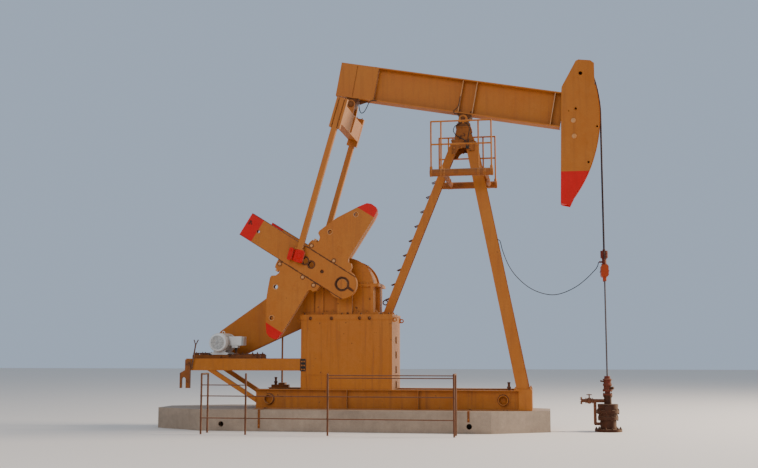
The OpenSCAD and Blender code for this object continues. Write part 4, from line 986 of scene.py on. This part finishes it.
# Taps of the wellhead: height, direction, profile and sides
WELL_TAPS = (
    (
        0.45, (0, -1, 0),
        [(0.06, 0.15), (0.06, 0.21), (0.075, 0.215), (0.075, 0.24), (0.05, 0.245)], 20,
    ),
    (
        0.86, (0.7, -0.7, 0),
        [(0.022, 0.06), (0.022, 0.12), (0.03, 0.125), (0.03, 0.15), (0.02, 0.155)], 16,
    ),
    (
        0.97, (-0.9, -0.4, 0.2),
        [(0.014, 0.06), (0.014, 0.13), (0.02, 0.132), (0.02, 0.15)], 12,
    ),
)
SKID_PLUG = [
    (0.03, 0), (0.03, 0.035), (0.04, 0.04), (0.04, 0.07),
    (0.025, 0.075), (0.025, 0.13), (0.032, 0.135), (0.032, 0.16),
]
# Height of the work platform's tubes
TUBE_Z = 5.18


class PUMP_OT_site_fittings(bpy.types.Operator):
    """Adds the studs of the wellhead, the platform's clamps and the fence's ties"""

    bl_idname = "pump.site_fittings"
    bl_label = "Wellhead, platform and fence"

    def execute(self, context):
        well = bmesh.new()
        for radius, low, high, count, size in WELL_FLANGES:
            for x, y in around(radius, count):
                bolt(well, aimed((HEAD_ARM + x, y, high), UP), size, size)
                if low > 0.1:
                    bolt(well, aimed((HEAD_ARM + x, y, low), DOWN), size, size * 0.5)
        for y, z in around(0.055, 6):
            bolt(well, aimed((2.29, y, 0.605 + z), (-1, 0, 0)), 0.01, 0.01)
        for z, direction, profile, sides in WELL_TAPS:
            lathe(well, aimed((HEAD_ARM, 0, z), direction), profile, sides)
        finish_piece(context, "wellhead_studs", well, "well_rust", "base")
        bands = bmesh.new()
        for y in (-0.825, 0.825):
            for x in (-0.615, -0.41, -0.353, 0.345, 0.466, 0.605):
                for dx in (-0.012, 0.012):
                    hoop(bands, aimed((x + dx, y, TUBE_Z), (1, 0, 0)), 0.078, 0.007)
            for x in (-0.615, -0.41, 0.345, 0.605):
                lathe(bands, aimed((x, y, 5.252), UP), [(0.03, 0), (0.03, 0.05), (0.026, 0.056)])
            for sense in (-1, 1):
                end = aimed((sense * 0.63936, y, TUBE_Z), (sense, 0, 0))
                lathe(bands, end, [(0.072, -0.004), (0.072, 0), (0.06, 0.003)], 32)
        for x in (-0.353, 0.466):
            for y in (-0.17, 0.17):
                hoop(bands, aimed((x, y, TUBE_Z), (0, 1, 0)), 0.05, 0.007, 24)
        finish_piece(context, "platform_bands", bands, "tan", "base", 50)
        ties = bmesh.new()
        for x in (-4.99, -4.1, -2.49, -0.09):
            for z in (0.31, 0.73):
                for dz in (-0.012, 0, 0.012):
                    hoop(ties, aimed((x, -1.95, z + dz), (0.2, 0, 1)), 0.0215, 0.003, 16, 6)
        finish_piece(context, "fence_ties", ties, "rusty", "base", 60)
        skid, blanks = bmesh.new(), bmesh.new()
        blank = [(0.096, -0.03), (0.096, -0.018), (0.09, -0.015)]
        for side in (-1, 1):
            face = (0, side, 0)
            for x in (-4.03, 0.76):
                hoop(skid, aimed((x, side * 0.506, 0.62), face), 0.104, 0.012, 40)
                lathe(blanks, aimed((x, side * 0.5, 0.62), face), blank, 40)
        for place in ((0.877, -0.5, 0.82), (-4.16, 0.5, 0.88)):
            lathe(skid, aimed(place, UP), SKID_PLUG, 16)
        finish_piece(context, "skid_rings", skid, "rusty", "base")
        finish_piece(context, "pipe_blanks", blanks, "skid", "base")
        return {"FINISHED"}


# Profile of the socket at the foot of a rope
SOCKET = [(0.026, 0), (0.026, 0.05), (0.02, 0.056), (0.02, 0.1), (0.015, 0.105)]


class PUMP_OT_rod_fittings(bpy.types.Operator):
    """Adds the rope sockets, the clamp's screws and the rod's cap"""

    bl_idname = "pump.rod_fittings"
    bl_label = "Rod fittings"

    def execute(self, context):
        bm = bmesh.new()
        for y in (-ROPE_Y, ROPE_Y):
            lathe(bm, aimed((HEAD_ARM, y, 3.327), UP), SOCKET)
            button = [(0.028, 0), (0.028, 0.004), (0.018, 0.006)]
            lathe(bm, aimed((HEAD_ARM, y, 3.003), DOWN), button)
        for z in (3.51, 3.58):
            for x in (2.787, 2.851):
                bolt(bm, aimed((x, -0.072, z), (0, -1, 0)), 0.013, 0.01)
        for sense in (-1, 1):
            screws = [(HEAD_ARM + sense * 0.0735, y, 3.2) for y in (-0.15, 0.15)]
            bolts(bm, screws, (sense, 0, 0), 0.014)
        lathe(bm, aimed((HEAD_ARM, 0, 3.617), UP), [(0.03, 0), (0.03, 0.03), (0.022, 0.035)])
        finish_piece(context, "rod_fittings", bm, "well_red", "rod_string")
        return {"FINISHED"}


FLOOR_COLOUR = (0.84, 0.735, 0.64, 1)
SKY_COLOUR, SKY_STRENGTH = (0.61, 0.75, 0.95, 1), 0.62
LIT = Vector((-1, 0, 3))
# Lights: name, place, size, power and colour
LIGHTS = (
    ("key_light", (18, 3, 17), 6, 7500, (1, 0.93, 0.83)),
    ("fill_light", (-6, -22, 12), 12, 1500, (1, 0.96, 0.9)),
)


def area_light(name, place, size, power, colour):
    """Square light that faces the middle of the unit."""
    light = bpy.data.lights.new(name, "AREA")
    light.size = size
    light.energy = power
    light.color = colour
    holder = bpy.data.objects.new(name, light)
    bpy.context.collection.objects.link(holder)
    holder.location = place
    holder.rotation_euler = (LIT - Vector(place)).to_track_quat("-Z", "Y").to_euler()


class PUMP_OT_studio(bpy.types.Operator):
    """Sets the floor, the lights and the camera"""

    bl_idname = "pump.studio"
    bl_label = "Studio"

    def execute(self, context):
        sizes = context.scene.pump_studio
        half = sizes.floor_width / 2
        mesh = bpy.data.meshes.new("studio_floor")
        mesh.from_pydata([(*p, 0) for p in rectangle(half, half)], [], [(0, 1, 2, 3)])
        floor = bpy.data.objects.new("studio_floor", mesh)
        context.collection.objects.link(floor)
        floor.location.z = -0.002
        material = bpy.data.materials.new("studio_floor")
        material.use_nodes = True
        surface = material.node_tree.nodes["Principled BSDF"]
        surface.inputs["Base Color"].default_value = FLOOR_COLOUR
        surface.inputs["Roughness"].default_value = 0.9
        mesh.materials.append(material)
        world = bpy.data.worlds.new("studio")
        world.use_nodes = True
        sky = world.node_tree.nodes["Background"]
        sky.inputs[0].default_value = SKY_COLOUR
        sky.inputs[1].default_value = SKY_STRENGTH
        context.scene.world = world
        for light in LIGHTS:
            area_light(*light)
        camera = bpy.data.cameras.new("camera")
        camera.angle = sizes.view_angle
        camera.clip_end = 300
        holder = bpy.data.objects.new("camera", camera)
        context.collection.objects.link(holder)
        holder.location = sizes.camera_at
        holder.rotation_euler = (math.pi / 2 + sizes.pitch, 0, sizes.turn)
        context.scene.camera = holder
        return {"FINISHED"}


OPERATORS = (
    PUMP_OT_studio, PUMP_OT_finishes, PUMP_OT_ropes, PUMP_OT_gear_bolts, PUMP_OT_crank_bolts,
    PUMP_OT_beam_fittings, PUMP_OT_motor_fittings, PUMP_OT_site_fittings, PUMP_OT_rod_fittings,
)


class PUMP_PT_panel(bpy.types.Panel):
    """Lists the steps that finish the pumping unit"""

    bl_idname = "PUMP_PT_panel"
    bl_label = "Pumping unit"
    bl_space_type = "VIEW_3D"
    bl_region_type = "UI"
    bl_category = "Pumping unit"

    def draw(self, context):
        for operator in OPERATORS:
            self.layout.operator(operator.bl_idname)


CLASSES = (PaintColours, StudioSizes, *OPERATORS, PUMP_PT_panel)


def register():
    for kind in CLASSES:
        bpy.utils.register_class(kind)
    bpy.types.Scene.pump_colours = PointerProperty(type=PaintColours)
    bpy.types.Scene.pump_studio = PointerProperty(type=StudioSizes)


def unregister():
    del bpy.types.Scene.pump_colours
    del bpy.types.Scene.pump_studio
    for kind in reversed(CLASSES):
        bpy.utils.unregister_class(kind)


def main():
    register()
    for operator in OPERATORS:
        group, name = operator.bl_idname.split(".")
        getattr(getattr(bpy.ops, group), name)()


if __name__ == "__main__":
    main()
